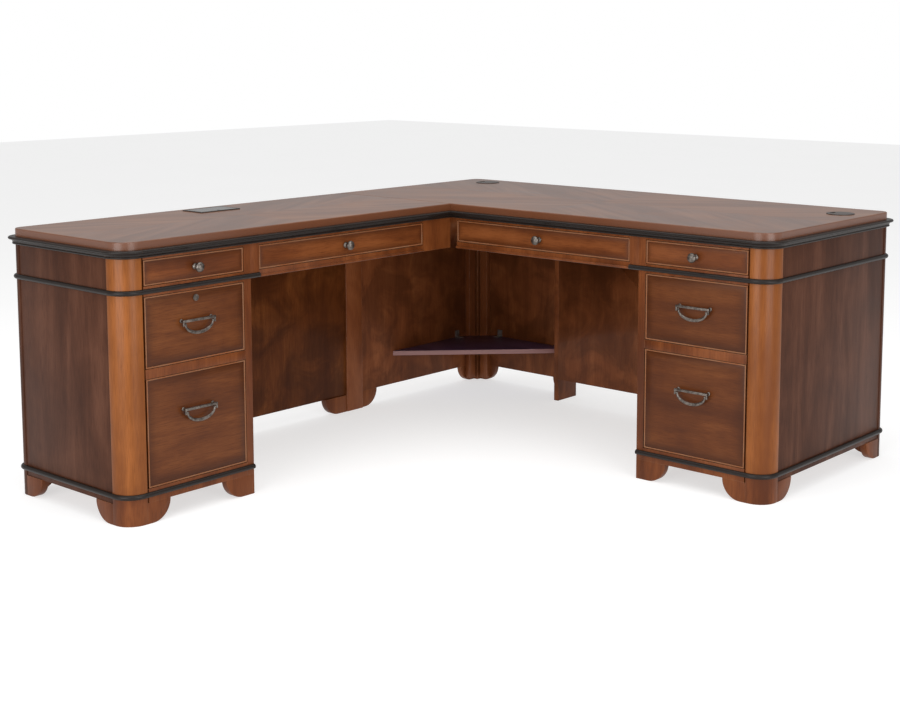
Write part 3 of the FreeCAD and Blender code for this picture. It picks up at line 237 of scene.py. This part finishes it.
def wood_grain(finish, grain, place=None):
    """Streaks, clouds and pores of one board, each from 0 to 1."""
    streaks = finish.noise(along_grain(grain, 1.5, 13), 4, 0.56, 0.9, place)
    clouds = finish.noise(even(5), 3, 0.55, 0.5)
    pores = finish.noise(along_grain(grain, 24, 560), 2, 0.6, 0.0, place)
    return streaks, clouds, pores


def wood(name, grain, tones, gloss=0.36, edge=None, burnished=False, sheen=0.16, mottled=False):
    """Stained and lacquered veneer whose grain runs along one axis."""
    finish = Finish(name)
    streaks, clouds, pores = wood_grain(finish, grain)
    share = (streaks * 0.55 + clouds * 0.35 + pores * 0.18 - 0.04).between(*WOOD_SPREAD)
    colour = finish.ramp(share, tones)
    colour = finish.mix((1 - pores).between(0.50, 0.74) * 0.45, colour, solid(tones[0]))
    if mottled:
        blotches = finish.noise(even(7), 4, 0.6, 0.8).between(0.40, 0.64)
        colour = finish.mix((1 - blotches) * 0.55, colour, solid(tones[0], 0.5))
    if burnished:
        shade = finish.node("ShaderNodeAttribute", {"attribute_name": "burnish"}, output="Fac")
        colour = finish.mix(shade * (0.35 + clouds * 0.35), colour, solid(tones[0], 0.45))
    # The edge tone goes on corners and edges: rubbed wear on most boards, a painted highlight on the
    # battens.
    if edge:
        patchy = finish.noise(even(38), 2).between(0.28, 0.62)
        colour = finish.mix(finish.edge_wear_and_highlight(EDGE_WEAR_AND_HIGHLIGHT_REACH) * patchy * 0.75, colour, solid(edge))
    finish.set(
        Base_Color=colour,
        Roughness=gloss + (1 - streaks) * 0.10 + (clouds - 0.5) * 0.14,
        Coat_Weight=0.05,
        Coat_Roughness=0.14,
        Specular_IOR_Level=sheen,
    )
    finish.bump(pores * 0.4 + streaks * 0.6, WOOD_BUMP)
    return finish.material


def quartered_top(name, centre, lean):
    """A top veneered in four matched quarters, with a lighter solid edge round it."""
    finish = Finish(name)
    x, y, z = finish.split(finish.place)
    from_x, from_y = x - centre[0], y - centre[1]
    side_x, side_y = from_x.math("ABSOLUTE"), from_y.math("ABSOLUTE")
    turned_x = side_x * math.cos(lean) + side_y * math.sin(lean)
    turned_y = side_y * math.cos(lean) - side_x * math.sin(lean)
    place = finish.node("ShaderNodeCombineXYZ", None, {0: turned_x, 1: turned_y, 2: z})
    streaks, clouds, pores = wood_grain(finish, X, place)
    quarter = (from_x * from_y).math("SIGN")
    share = streaks * 0.52 + clouds * 0.34 + pores * 0.16 + quarter * 0.035 - 0.02
    colour = finish.ramp(share.between(*WOOD_SPREAD), TOP_TONES)
    rim = 1 - finish.facing_up().between(0.35, 0.8)
    rim_tone = finish.mix(streaks * 0.6, solid(TOP_EDGE), solid(CHERRY[1]))
    colour = finish.mix(rim, colour, rim_tone)
    finish.set(
        Base_Color=colour,
        Roughness=0.33 + (1 - streaks) * 0.08 + (clouds - 0.5) * 0.10 + quarter * 0.012,
        Coat_Weight=0.30,
        Coat_Roughness=0.20,
    )
    finish.bump(pores * 0.5 + streaks * 0.5, TOP_BUMP)
    return finish.material


def shelf_board():
    """Dark plum-brown shelf face with a lighter edge."""
    finish = Finish("shelf_plum")
    streaks, clouds, pores = wood_grain(finish, X)
    colour = finish.ramp((streaks * 0.6 + clouds * 0.4).between(0.3, 0.7), SHELF_TONES)
    rim = 1 - finish.facing_up().math("ABSOLUTE").between(0.4, 0.8)
    colour = finish.mix(rim, colour, finish.mix(clouds, solid(SHELF_EDGE), solid(SHELF_EDGE, 0.7)))
    finish.set(Base_Color=colour, Roughness=0.34 + clouds * 0.14, Coat_Weight=0.2)
    finish.bump(pores, SHELF_BUMP)
    return finish.material


def black_lacquer():
    """Black satin lacquer, rubbed through to brown where it is handled; the brown edge line also stands
    in as a painted highlight.
    """
    finish = Finish("black_lacquer")
    clouds = finish.noise(even(9), 4, 0.6)
    speck = finish.noise(even(160), 2, 0.7)
    colour = finish.mix(clouds, solid(LACQUER_BLACK[0]), solid(LACQUER_BLACK[1]))
    # Brown on the edges: part rubbed-through wear, part a painted highlight.
    wear_and_highlight = finish.edge_wear_and_highlight(LACQUER_WEAR_AND_HIGHLIGHT_REACH) * speck.between(0.42, 0.66)
    colour = finish.mix(wear_and_highlight * 0.7, colour, solid(LACQUER_WORN_AND_HIGHLIGHT))
    finish.set(
        Base_Color=colour,
        Roughness=0.30 + clouds * 0.12,
        Coat_Weight=0.06,
        Specular_IOR_Level=0.20,
    )
    finish.bump(speck, LACQUER_BUMP)
    return finish.material


def tan_bead():
    """The rubbed bead round a drawer front: tan, with darker stain left in places."""
    finish = Finish("rubbed_bead")
    worn = finish.noise(even(11), 3, 0.6)
    fine = finish.noise(even(190), 3, 0.7)
    share = (worn * 0.6 + fine * 0.4).between(0.34, 0.60)
    colour = finish.mix(share, solid(CHERRY[2]), solid(BEAD_TAN))
    finish.set(Base_Color=colour, Roughness=0.42 + worn * 0.12, Specular_IOR_Level=0.20)
    finish.bump(fine, BEAD_BUMP)
    return finish.material


def pewter():
    """Aged pewter: dark in the hollows, brighter on rubbed edges, slightly pitted."""
    finish = Finish("aged_pewter")
    clouds = finish.noise(even(120), 4, 0.65)
    pits = finish.noise(even(900), 2, 0.6)
    colour = finish.mix(clouds.between(0.32, 0.68), solid(PEWTER_TONES[0]), solid(PEWTER_TONES[1]))
    colour = finish.mix(finish.edge_wear_and_highlight(PEWTER_WEAR_REACH) * 0.6, colour, solid(PEWTER_RUBBED))
    finish.set(Base_Color=colour, Metallic=1.0, Roughness=0.36 + (1 - clouds) * 0.16)
    finish.bump(clouds * 0.5 + pits * 0.5, METAL_BUMP)
    return finish.material


def zinc():
    """Zinc-plated steel with a faint drawn grain."""
    finish = Finish("zinc_plate")
    drawn = finish.noise((60, 60, 900), 2, 0.6)
    bloom = finish.noise(even(45), 3, 0.6)
    colour = finish.mix(bloom, solid(ZINC_TONES[0]), solid(ZINC_TONES[1]))
    finish.set(Base_Color=colour, Metallic=1.0, Roughness=0.30 + drawn * 0.14)
    finish.bump(drawn, PLATE_BUMP)
    return finish.material


def plastic(name, tones, gloss):
    """Moulded plastic with a fine spark-eroded texture."""
    finish = Finish(name)
    clouds = finish.noise(even(30), 3, 0.5)
    texture = finish.noise(even(1500), 2, 0.5)
    colour = finish.mix(clouds, solid(tones[0]), solid(tones[1]))
    finish.set(Base_Color=colour, Roughness=gloss + texture * 0.08)
    finish.bump(texture, PLATE_BUMP)
    return finish.material


def pale_floor():
    """A pale matt floor with a faint glow, so that it stays light round the shadows."""
    finish = Finish("pale_floor")
    clouds = finish.noise(even(1.5), 2, 0.5)
    colour = finish.mix(clouds, solid(FLOOR_TONES[0]), solid(FLOOR_TONES[1]))
    finish.set(Base_Color=colour, Roughness=0.9, Specular_IOR_Level=0.1)
    finish.set(Emission_Color=WHITE, Emission_Strength=FLOOR_GLOW)
    return finish.material


# ---------------------------------------------------------------- mesh helpers

BLOCK_ROUND_STEPS = 3
ROD_SIDES = 20
BOARD_SHARP = 32
FRONT_SHARP = 50
METAL_SHARP = 40


def add_block(mesh, low, high, soft):
    """A box between two corners, with its edges rounded."""
    size = [high[axis] - low[axis] for axis in (X, Y, Z)]
    middle = [(high[axis] + low[axis]) / 2 for axis in (X, Y, Z)]
    matrix = Matrix.Translation(middle) @ Matrix.Diagonal((*size, 1))
    made = bmesh.ops.create_cube(mesh, size=1.0, matrix=matrix)
    edges = {edge for corner in made["verts"] for edge in corner.link_edges}
    bmesh.ops.bevel(
        mesh, geom=list(edges), offset=soft, segments=BLOCK_ROUND_STEPS, affect="EDGES", profile=0.5
    )


def add_lathe(mesh, profile, segments, centre=(0, 0)):
    """A turned shape about a line that runs out of the face, from (radius, reach) points.

    centre is the line's place across and up; reach is how far in front of the face a point is.
    """
    rings = []
    for radius, reach in profile:
        steps = range(segments) if radius else range(1)
        turns = [2 * math.pi * step / segments for step in steps]
        ring = []
        for turn in turns:
            across = centre[0] + radius * math.cos(turn)
            up = centre[1] + radius * math.sin(turn)
            ring.append(mesh.verts.new((across, -reach, up)))
        rings.append(ring)
    bridge_rings(mesh, rings, segments)


def bridge_rings(mesh, rings, segments):
    """Faces between neighbouring rings, any of which may be a single point."""
    for near, far in zip(rings, rings[1:]):
        for step in range(segments):
            following = (step + 1) % segments
            corners = [near[step % len(near)], near[following % len(near)]]
            corners += [far[following % len(far)], far[step % len(far)]]
            corners = list(dict.fromkeys(corners))
            if len(corners) > 2:
                mesh.faces.new(corners)


def add_rod(mesh, spots, sizes):
    """A rod through spots in an upright plane; sizes gives its half width in and out of the plane."""
    rings = []
    for number, spot in enumerate(spots):
        before, after = spots[max(number - 1, 0)], spots[min(number + 1, len(spots) - 1)]
        way = (Vector(after) - Vector(before)).normalized()
        side = Vector((way.z, 0, -way.x))
        across, outward = sizes[number]
        ring = []
        for step in range(ROD_SIDES):
            turn = 2 * math.pi * step / ROD_SIDES
            offset = side * across * math.cos(turn) + Vector((0, outward * math.sin(turn), 0))
            ring.append(mesh.verts.new(Vector(spot) + offset))
        rings.append(ring)
    bridge_rings(mesh, rings, ROD_SIDES)
    for ring in (rings[0], rings[-1]):
        mesh.faces.new(ring)


def settle(name, mesh, matrix, materials, body, node, slot, sharp):
    """Turns mesh code's result into a piece that rides on a body and stands for a CAD node."""
    bmesh.ops.transform(mesh, matrix=matrix, verts=mesh.verts)
    bmesh.ops.recalc_face_normals(mesh, faces=mesh.faces)
    data = bpy.data.meshes.new(name)
    mesh.to_mesh(data)
    mesh.free()
    for face in data.polygons:
        face.use_smooth = True
    data.set_sharp_from_angle(angle=math.radians(sharp))
    for material in materials:
        data.materials.append(material)
    piece = bpy.data.objects.new(name, data)
    bpy.context.scene.collection.objects.link(piece)
    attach(piece, body)
    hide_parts(node)


def face_place(arm, node):
    """The middle of a drawer front's face, with its own -Y pointing out of the desk."""
    low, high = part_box(node)
    middle = (low + high) / 2
    face = (middle.x, low.y, middle.z) if arm == "desk" else (high.x, middle.y, middle.z)
    return Matrix.Translation(face) @ Matrix.Rotation(FACING[arm], 4, "Z")


def face_size(arm, node):
    """Width, height and thickness of a drawer front."""
    low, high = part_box(node)
    size = high - low
    return (size.x, size.z, size.y) if arm == "desk" else (size.y, size.z, size.x)


def joint_place(arm, joint_name):
    """The middle of a hinge's line, turned like the drawer front behind it."""
    joint = next(joint for joint in frame["joints"] if joint["name"] == joint_name)
    return Matrix.Translation(joint["pos_m"]) @ Matrix.Rotation(FACING[arm], 4, "Z")


# ---------------------------------------------------------------- drawer fronts

BEAD_STEPS = ((0.0, 1.4), (0.25, 0.6), (0.8, 0.15), (1.7, 0.0), (2.7, 0.1), (3.5, 0.6), (3.9, 1.5))
GROOVE_STEPS = ((4.4, 2.0), (5.0, 1.9), (5.6, 1.3), (6.2, 1.1))
FIELD_DEPTH = 1.1
BURNISH_REACH = 26.0
BURNISH_SHARE = 0.28
BURNISH_HALFWAY = 0.25
BURNISH_END = 1.6


def moulded_front(arm, drawer):
    """A drawer front with a rubbed bead round it, a fine groove, and a field burnished at its rim."""
    node = f"{arm}_{drawer}_front"
    wide, high, thick = face_size(arm, node)
    mesh = bmesh.new()
    burnish = mesh.verts.layers.float.new("burnish")

    def ring(inset, depth, shade=1.0):
        x, z = wide / 2 - inset, high / 2 - inset
        spots = ((-x, depth, -z), (x, depth, -z), (x, depth, z), (-x, depth, z))
        corners = [mesh.verts.new(spot) for spot in spots]
        for corner in corners:
            corner[burnish] = shade
        return corners

    reach = min(BURNISH_REACH * MM, BURNISH_SHARE * high)
    rings = [ring(0, thick)]
    rings += [ring(inset * MM, depth * MM) for inset, depth in BEAD_STEPS + GROOVE_STEPS]
    rings.append(ring(reach, FIELD_DEPTH * MM, BURNISH_HALFWAY))
    rings.append(ring(reach * BURNISH_END, FIELD_DEPTH * MM, 0.0))
    bead_rings = range(1, len(BEAD_STEPS))
    for number, (near, far) in enumerate(zip(rings, rings[1:])):
        for side in range(len(near)):
            following = (side + 1) % len(near)
            face = mesh.faces.new((near[side], near[following], far[following], far[side]))
            face.material_index = 1 if number in bead_rings else 0
    mesh.faces.new(rings[-1])
    mesh.faces.new(rings[0])
    materials = [(BAIL_WOOD if drawer in BAIL_DRAWERS else KNOB_WOOD_PAINTED_LIGHT)[arm], BEAD]
    name, body = f"{arm}_{drawer}_moulded_front", f"{arm}_{drawer}"
    settle(name, mesh, face_place(arm, node), materials, body, node, "front_veneer", FRONT_SHARP)


# ---------------------------------------------------------------- pulls

KNOB = (
    (0, 30.0), (3.2, 29.8), (6.4, 29.1), (9.2, 27.9), (11.4, 26.3), (11.7, 25.6), (12.9, 24.6),
    (13.7, 23.0), (14.0, 21.0), (13.7, 19.2), (12.7, 17.9), (10.8, 17.1), (8.0, 16.3), (6.0, 14.8),
    (4.8, 12.4), (4.4, 9.4), (4.6, 6.8), (5.6, 4.8), (7.2, 3.4), (8.3, 2.2), (8.6, 1.2), (8.2, 0.3),
    (7.8, 0.0), (2.0, 0.0),
)
STUD_BACK = 32.0
STUD_ROUND = 2.0
NUT = ((STUD_ROUND, 0.0), (5.0, 0.0), (5.0, 3.0), (STUD_ROUND, 3.0), (STUD_ROUND, 4.0), (0.0, 4.0))
POST_END = 3.0
ROSETTE = (
    (3.1, 3.4), (3.3, 3.4), (3.5, 2.4), (4.0, 1.9), (4.8, 1.6), (5.2, 1.1), (5.3, 0.5), (5.2, 0.0),
    (STUD_ROUND, 0.0),
)
KNOB_SIDES = 48
POST_SIDES = 28


def in_mm(profile):
    return [(radius * MM, reach * MM) for radius, reach in profile]


def stud_and_nut():
    """The hidden end of a pull's fixing, behind the drawer's face."""
    return [(radius, -STUD_BACK - reach) for radius, reach in NUT]


def turned_knob(arm, drawer):
    """A mushroom knob on its neck and foot, with the stud and nut behind it."""
    mesh = bmesh.new()
    add_lathe(mesh, in_mm(list(KNOB) + stud_and_nut()), KNOB_SIDES)
    body = f"{arm}_{drawer}"
    place = face_place(arm, f"{body}_front")
    settle(f"{body}_turned_knob", mesh, place, [PEWTER], body, f"{body}_knob", "pewter", METAL_SHARP)


BAIL_STAND = 13.5
BAR_HALF = 55.5
BAR_SQUARE = 7.0
LUG_WIDE = 5.0
LUG_DROP = 10.0
BAR_ROUND = 1.4
LUG_ROUND = 1.3
LUG_LAP = 1.0
LUG_THICK = 0.9
EYE_OUT = 46.5
EYE_ROUND = 3.4
EYE_SIDES = 20
EYE_RINGS = 12
PIN_ROOM = 0.3
BAIL_DROP = 27.0
BAIL_STEPS = 40
BAIL_END = (2.7, 2.3)
BAIL_FULLER = (1.9, 0.6)
BAIL_SWELL = 0.7


def bail_mount(arm, drawer):
    """A crowned bar on two posts with rosettes, and a rounded lug at each end."""
    mesh = bmesh.new()
    half = BAR_SQUARE / 2
    bar_low = LUG_DROP / 2
    low = (-BAR_HALF * MM, -half * MM, bar_low * MM)
    high = (BAR_HALF * MM, half * MM, (bar_low + BAR_SQUARE) * MM)
    add_block(mesh, low, high, BAR_ROUND * MM)
    for side in (-1, 1):
        ends = sorted((side * BAR_HALF, side * (BAR_HALF - LUG_WIDE)))
        low = (ends[0] * MM, -half * MM * LUG_THICK, (bar_low - LUG_DROP) * MM)
        high = (ends[1] * MM, half * MM * LUG_THICK, (bar_low + LUG_LAP) * MM)
        add_block(mesh, low, high, LUG_ROUND * MM)
        centre = (side * (BAR_HALF - LUG_WIDE) * MM, (bar_low + half) * MM)
        post = [(POST_END, 0.0)]
        post += [(radius, reach - BAIL_STAND) for radius, reach in [*ROSETTE, *stud_and_nut()]]
        add_lathe(mesh, in_mm(post), POST_SIDES, centre)
    body = f"{arm}_{drawer}"
    place = joint_place(arm, f"{body}_bail_hinge")
    node = f"{body}_bail_mount"
    settle(f"{body}_bar_and_lugs", mesh, place, [PEWTER], body, node, "pewter", METAL_SHARP)


def hanging_bail(arm, drawer):
    """A half-moon rod, fuller in the middle, with an eye and a pin at each end."""
    mesh = bmesh.new()
    spots, sizes = [], []
    for step in range(BAIL_STEPS + 1):
        turn = math.pi / 2 * (2 * step / BAIL_STEPS - 1)
        spots.append((EYE_OUT * MM * math.sin(turn), 0, -BAIL_DROP * MM * math.cos(turn)))
        full = math.cos(turn) ** BAIL_SWELL
        sizes.append([(end + fuller * full) * MM for end, fuller in zip(BAIL_END, BAIL_FULLER)])
    add_rod(mesh, spots, sizes)
    pin_long = BAR_HALF - PIN_ROOM - EYE_OUT
    pin = {"radius1": STUD_ROUND * MM, "radius2": STUD_ROUND * MM, "depth": pin_long * MM}
    for side in (-1, 1):
        place = Matrix.Translation((side * EYE_OUT * MM, 0, 0))
        bmesh.ops.create_uvsphere(
            mesh, u_segments=EYE_SIDES, v_segments=EYE_RINGS, radius=EYE_ROUND * MM, matrix=place
        )
        place = Matrix.Translation((side * (EYE_OUT + pin_long / 2) * MM, 0, 0))
        place = place @ Matrix.Rotation(math.radians(90), 4, "Y")
        bmesh.ops.create_cone(mesh, cap_ends=True, segments=EYE_SIDES, matrix=place, **pin)
    node = f"{arm}_{drawer}_bail"
    place = joint_place(arm, f"{node}_hinge")
    settle(f"{arm}_{drawer}_half_moon_bail", mesh, place, [PEWTER], node, node, "pewter", METAL_SHARP)


# ---------------------------------------------------------------- eased boards


WELD = 0.002 * MM
FLAT = math.radians(0.4)
BOARD_SOFT = 0.6 * MM
BOX_SOFT = 0.5 * MM


def eased(node, soft, body, slot, materials, choose=None, level=None):
    """A CAD node's own boards with their hard corners eased by a small round.

    choose picks a finish's number for a point of the surface, and level is a height at which the
    faces are parted so that the finish can change there.
    """
    mesh = bmesh.new()
    mesh.from_mesh(frame["nodes"][node].data)
    bmesh.ops.remove_doubles(mesh, verts=mesh.verts, dist=WELD)
    bmesh.ops.dissolve_limit(mesh, angle_limit=FLAT, verts=mesh.verts, edges=mesh.edges)
    turn = math.radians(BOARD_SHARP)
    paired = [edge for edge in mesh.edges if len(edge.link_faces) == 2]
    hard = [edge for edge in paired if edge.calc_face_angle() > turn]
    rounding = {"offset": soft, "segments": 2, "profile": 0.6, "clamp_overlap": True}
    bmesh.ops.bevel(mesh, geom=hard, affect="EDGES", **rounding)
    if level:
        everything = [*mesh.verts, *mesh.edges, *mesh.faces]
        bmesh.ops.bisect_plane(mesh, geom=everything, plane_co=(0, 0, level), plane_no=(0, 0, 1))
    if choose:
        for face in mesh.faces:
            face.material_index = choose(face.calc_center_median())
    settle(f"{node}_eased", mesh, Matrix.Identity(4), materials, body, node, slot, BOARD_SHARP)


def keep(node, material):
    """A CAD node that keeps its mesh and gets its finish."""
    data = frame["nodes"][node].data
    data.materials.clear()
    data.materials.append(material)


# ---------------------------------------------------------------- the desk

GRAIN_WAY = {"desk": X, "return": Y}
# The small and pencil fronts take the lighter CHERRY tone: painted light that offsets the shade under
# the top's overhang. The file fronts take the deeper tone of the same wood.
KNOB_WOOD_PAINTED_LIGHT = {arm: wood(f"small_front_painted_light_{arm}", GRAIN_WAY[arm], CHERRY, burnished=True) for arm in ARMS}
BAIL_WOOD = {arm: wood(f"file_front_{arm}", GRAIN_WAY[arm], CHERRY_DEEP, burnished=True) for arm in ARMS}
UPRIGHT_WOOD = wood("upright_cherry", Z, CHERRY_LIGHT, 0.33, edge=BEAD_TAN)
PANEL_WOOD = wood("panel_cherry", Z, CHERRY_DARK, sheen=0.06)
FRAME_WOOD = wood("frame_cherry", Z, CHERRY, edge=BEAD_TAN)
# Kneehole boards take the lighter inner tone, painted light against the shade under the top.
INNER_WOOD_PAINTED_LIGHT = wood("inner_cherry_painted_light", Z, CHERRY_INNER_PAINTED_LIGHT, 0.42, sheen=0.10, mottled=True)
BACK_WOOD = wood("back_cherry", Z, CHERRY_DEEP, 0.42, sheen=0.06, mottled=True)
# Battens: the lighter inner tone, with a painted highlight on their edges.
BATTEN_WOOD = wood("batten_cherry", Z, CHERRY_INNER_PAINTED_LIGHT, 0.36, edge=BATTEN_EDGE_HIGHLIGHT)
FOOT_WOOD = wood("foot_cherry", Z, CHERRY, 0.38, edge=BEAD_TAN)
BOX_WOOD = wood("box_maple", X, MAPLE, 0.48)
BEAD = tan_bead()
BLACK = black_lacquer()
SHELF = shelf_board()
PEWTER = pewter()
ZINC = zinc()
BROWN_PLASTIC = plastic("brown_plastic", BROWN_TONES, 0.34)
GREY_PLASTIC = plastic("grey_plastic", GREY_TONES, 0.22)

desk_low, desk_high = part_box("desk_top")
return_low, return_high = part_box("return_top")
DESK_TOP = quartered_top("desk_top_veneer", (desk_low + desk_high) / 2, math.radians(34))
RETURN_TOP = quartered_top("return_top_veneer", (return_low + return_high) / 2, math.radians(62))

BASE_BEAD_RISE = 0.022
POST_REACH = 0.1
EASED_BOARDS = {
    "desk_end_panel": (PANEL_WOOD, "case_veneer"),
    "return_end_panel": (PANEL_WOOD, "case_veneer"),
    "desk_left_end_panel": (INNER_WOOD_PAINTED_LIGHT, "case_veneer"),
    "return_back_panel": (BACK_WOOD, "case_veneer"),
    "desk_front_frame": (FRAME_WOOD, "case_veneer"),
    "return_front_frame": (FRAME_WOOD, "case_veneer"),
    "desk_pedestal_case": (INNER_WOOD_PAINTED_LIGHT, "inner_veneer"),
    "return_pedestal_case": (INNER_WOOD_PAINTED_LIGHT, "inner_veneer"),
    "desk_modesty_panel": (INNER_WOOD_PAINTED_LIGHT, "inner_veneer"),
    "desk_corner_back_panel": (INNER_WOOD_PAINTED_LIGHT, "inner_veneer"),
    "feet": (FOOT_WOOD, "post_veneer"),
    "corner_shelf": (SHELF, "shelf_wood"),
}
KEPT_NODES = {
    "desk_top": DESK_TOP,
    "return_top": RETURN_TOP,
    "desk_cornice": BLACK,
    "return_cornice": BLACK,
    "desk_beads": BLACK,
    "return_beads": BLACK,
    "shelf_brackets": ZINC,
    "cabinet_slides": ZINC,
    "joining_bolts": ZINC,
    "lock_cylinder": PEWTER,
    "grommet_liners": BROWN_PLASTIC,
    "far_grommet_cap": BROWN_PLASTIC,
    "near_grommet_cap": BROWN_PLASTIC,
    "power_unit": BROWN_PLASTIC,
    "power_unit_lid": GREY_PLASTIC,
}


def dress_posts():
    """Bright rounded posts in front, darker at the feet, with dark posts and battens elsewhere."""
    desk_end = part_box("desk_end_panel")[0]
    return_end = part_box("return_end_panel")[1]
    base_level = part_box("feet")[1].z + BASE_BEAD_RISE

    def choose(spot):
        on_desk = spot.y < desk_end.y and spot.x > desk_end.x - POST_REACH
        on_return = spot.x > return_end.x and spot.y < return_end.y + POST_REACH
        if on_desk or on_return:
            return 0 if spot.z > base_level else 1
        return 2 if spot.x < 0 and spot.y > 0 else 3

    materials = [UPRIGHT_WOOD, FOOT_WOOD, BATTEN_WOOD, PANEL_WOOD]
    eased("corner_posts", BOARD_SOFT, "frame", "post_veneer", materials, choose, base_level)


def dress_desk():
    """Every node gets its finish, and its remade piece where it has one."""
    dress_posts()
    for node, (material, slot) in EASED_BOARDS.items():
        eased(node, BOARD_SOFT, "frame", slot, [material])
    for node, material in KEPT_NODES.items():
        keep(node, material)
    for arm in ARMS:
        for drawer in KNOB_DRAWERS + BAIL_DRAWERS:
            moulded_front(arm, drawer)
            body = f"{arm}_{drawer}"
            eased(f"{body}_box", BOX_SOFT, body, "drawer_wood", [BOX_WOOD])
        for drawer in KNOB_DRAWERS:
            turned_knob(arm, drawer)
        for drawer in BAIL_DRAWERS:
            keep(f"{arm}_{drawer}_runners", ZINC)
            bail_mount(arm, drawer)
            hanging_bail(arm, drawer)


# ---------------------------------------------------------------- studio

FLOOR_HALF = 14.0
FLOOR_GLOW = 0.62
CAMERA_PLACE = (2.890, -3.292, 1.285)
CAMERA_TURN = 40.94
CAMERA_DIP = 7.0
CAMERA_LENS = 60.37
CAMERA_SHIFT = (-0.0324, -0.1514)
ROOM_LIGHT = 0.52
BACKDROP_LIGHT = 1.0
# name, place, target, size, power
LAMPS = (
    ("overhead", (0.4, -0.6, 3.6), (0.2, -0.2, 0.0), (4.5, 4.5), 120),
    ("front_left", (0.5, -4.2, 1.1), (-0.1, 0.3, 0.35), (2.6, 1.6), 72),
    ("front_right", (4.2, -1.0, 1.1), (-0.2, 0.2, 0.35), (2.6, 1.6), 72),
)


def make_floor():
    mesh = bmesh.new()
    bmesh.ops.create_grid(mesh, x_segments=1, y_segments=1, size=FLOOR_HALF)
    data = bpy.data.meshes.new("floor")
    mesh.to_mesh(data)
    mesh.free()
    data.materials.append(pale_floor())
    floor = bpy.data.objects.new("floor", data)
    bpy.context.scene.collection.objects.link(floor)


def area_light(name, place, target, size, power):
    light = bpy.data.lights.new(name, "AREA")
    light.shape = "RECTANGLE"
    light.size, light.size_y = size
    light.energy = power
    lamp = bpy.data.objects.new(name, light)
    lamp.location = place
    lamp.rotation_euler = (Vector(target) - Vector(place)).to_track_quat("-Z", "Y").to_euler()
    bpy.context.scene.collection.objects.link(lamp)


def make_lights():
    """Three area lights, and a world that is dimmer on the desk than behind it."""
    world = bpy.data.worlds.new("studio")
    world.use_nodes = True
    nodes, links = world.node_tree.nodes, world.node_tree.links
    room = nodes["Background"]
    backdrop = nodes.new("ShaderNodeBackground")
    for background, strength in ((room, ROOM_LIGHT), (backdrop, BACKDROP_LIGHT)):
        background.inputs["Color"].default_value = WHITE
        background.inputs["Strength"].default_value = strength
    both = nodes.new("ShaderNodeMixShader")
    links.new(nodes.new("ShaderNodeLightPath").outputs["Is Camera Ray"], both.inputs[0])
    links.new(room.outputs[0], both.inputs[1])
    links.new(backdrop.outputs[0], both.inputs[2])
    links.new(both.outputs[0], nodes["World Output"].inputs["Surface"])
    bpy.context.scene.world = world
    for lamp in LAMPS:
        area_light(*lamp)


def make_camera():
    lens = bpy.data.cameras.new("camera")
    lens.lens = CAMERA_LENS
    lens.shift_x, lens.shift_y = CAMERA_SHIFT
    camera = bpy.data.objects.new("camera", lens)
    camera.location = CAMERA_PLACE
    camera.rotation_euler = (math.radians(90 - CAMERA_DIP), 0, math.radians(CAMERA_TURN))
    bpy.context.scene.collection.objects.link(camera)
    bpy.context.scene.camera = camera


bpy.context.scene.view_settings.view_transform = "Standard"
make_camera()
make_floor()
make_lights()
dress_desk()
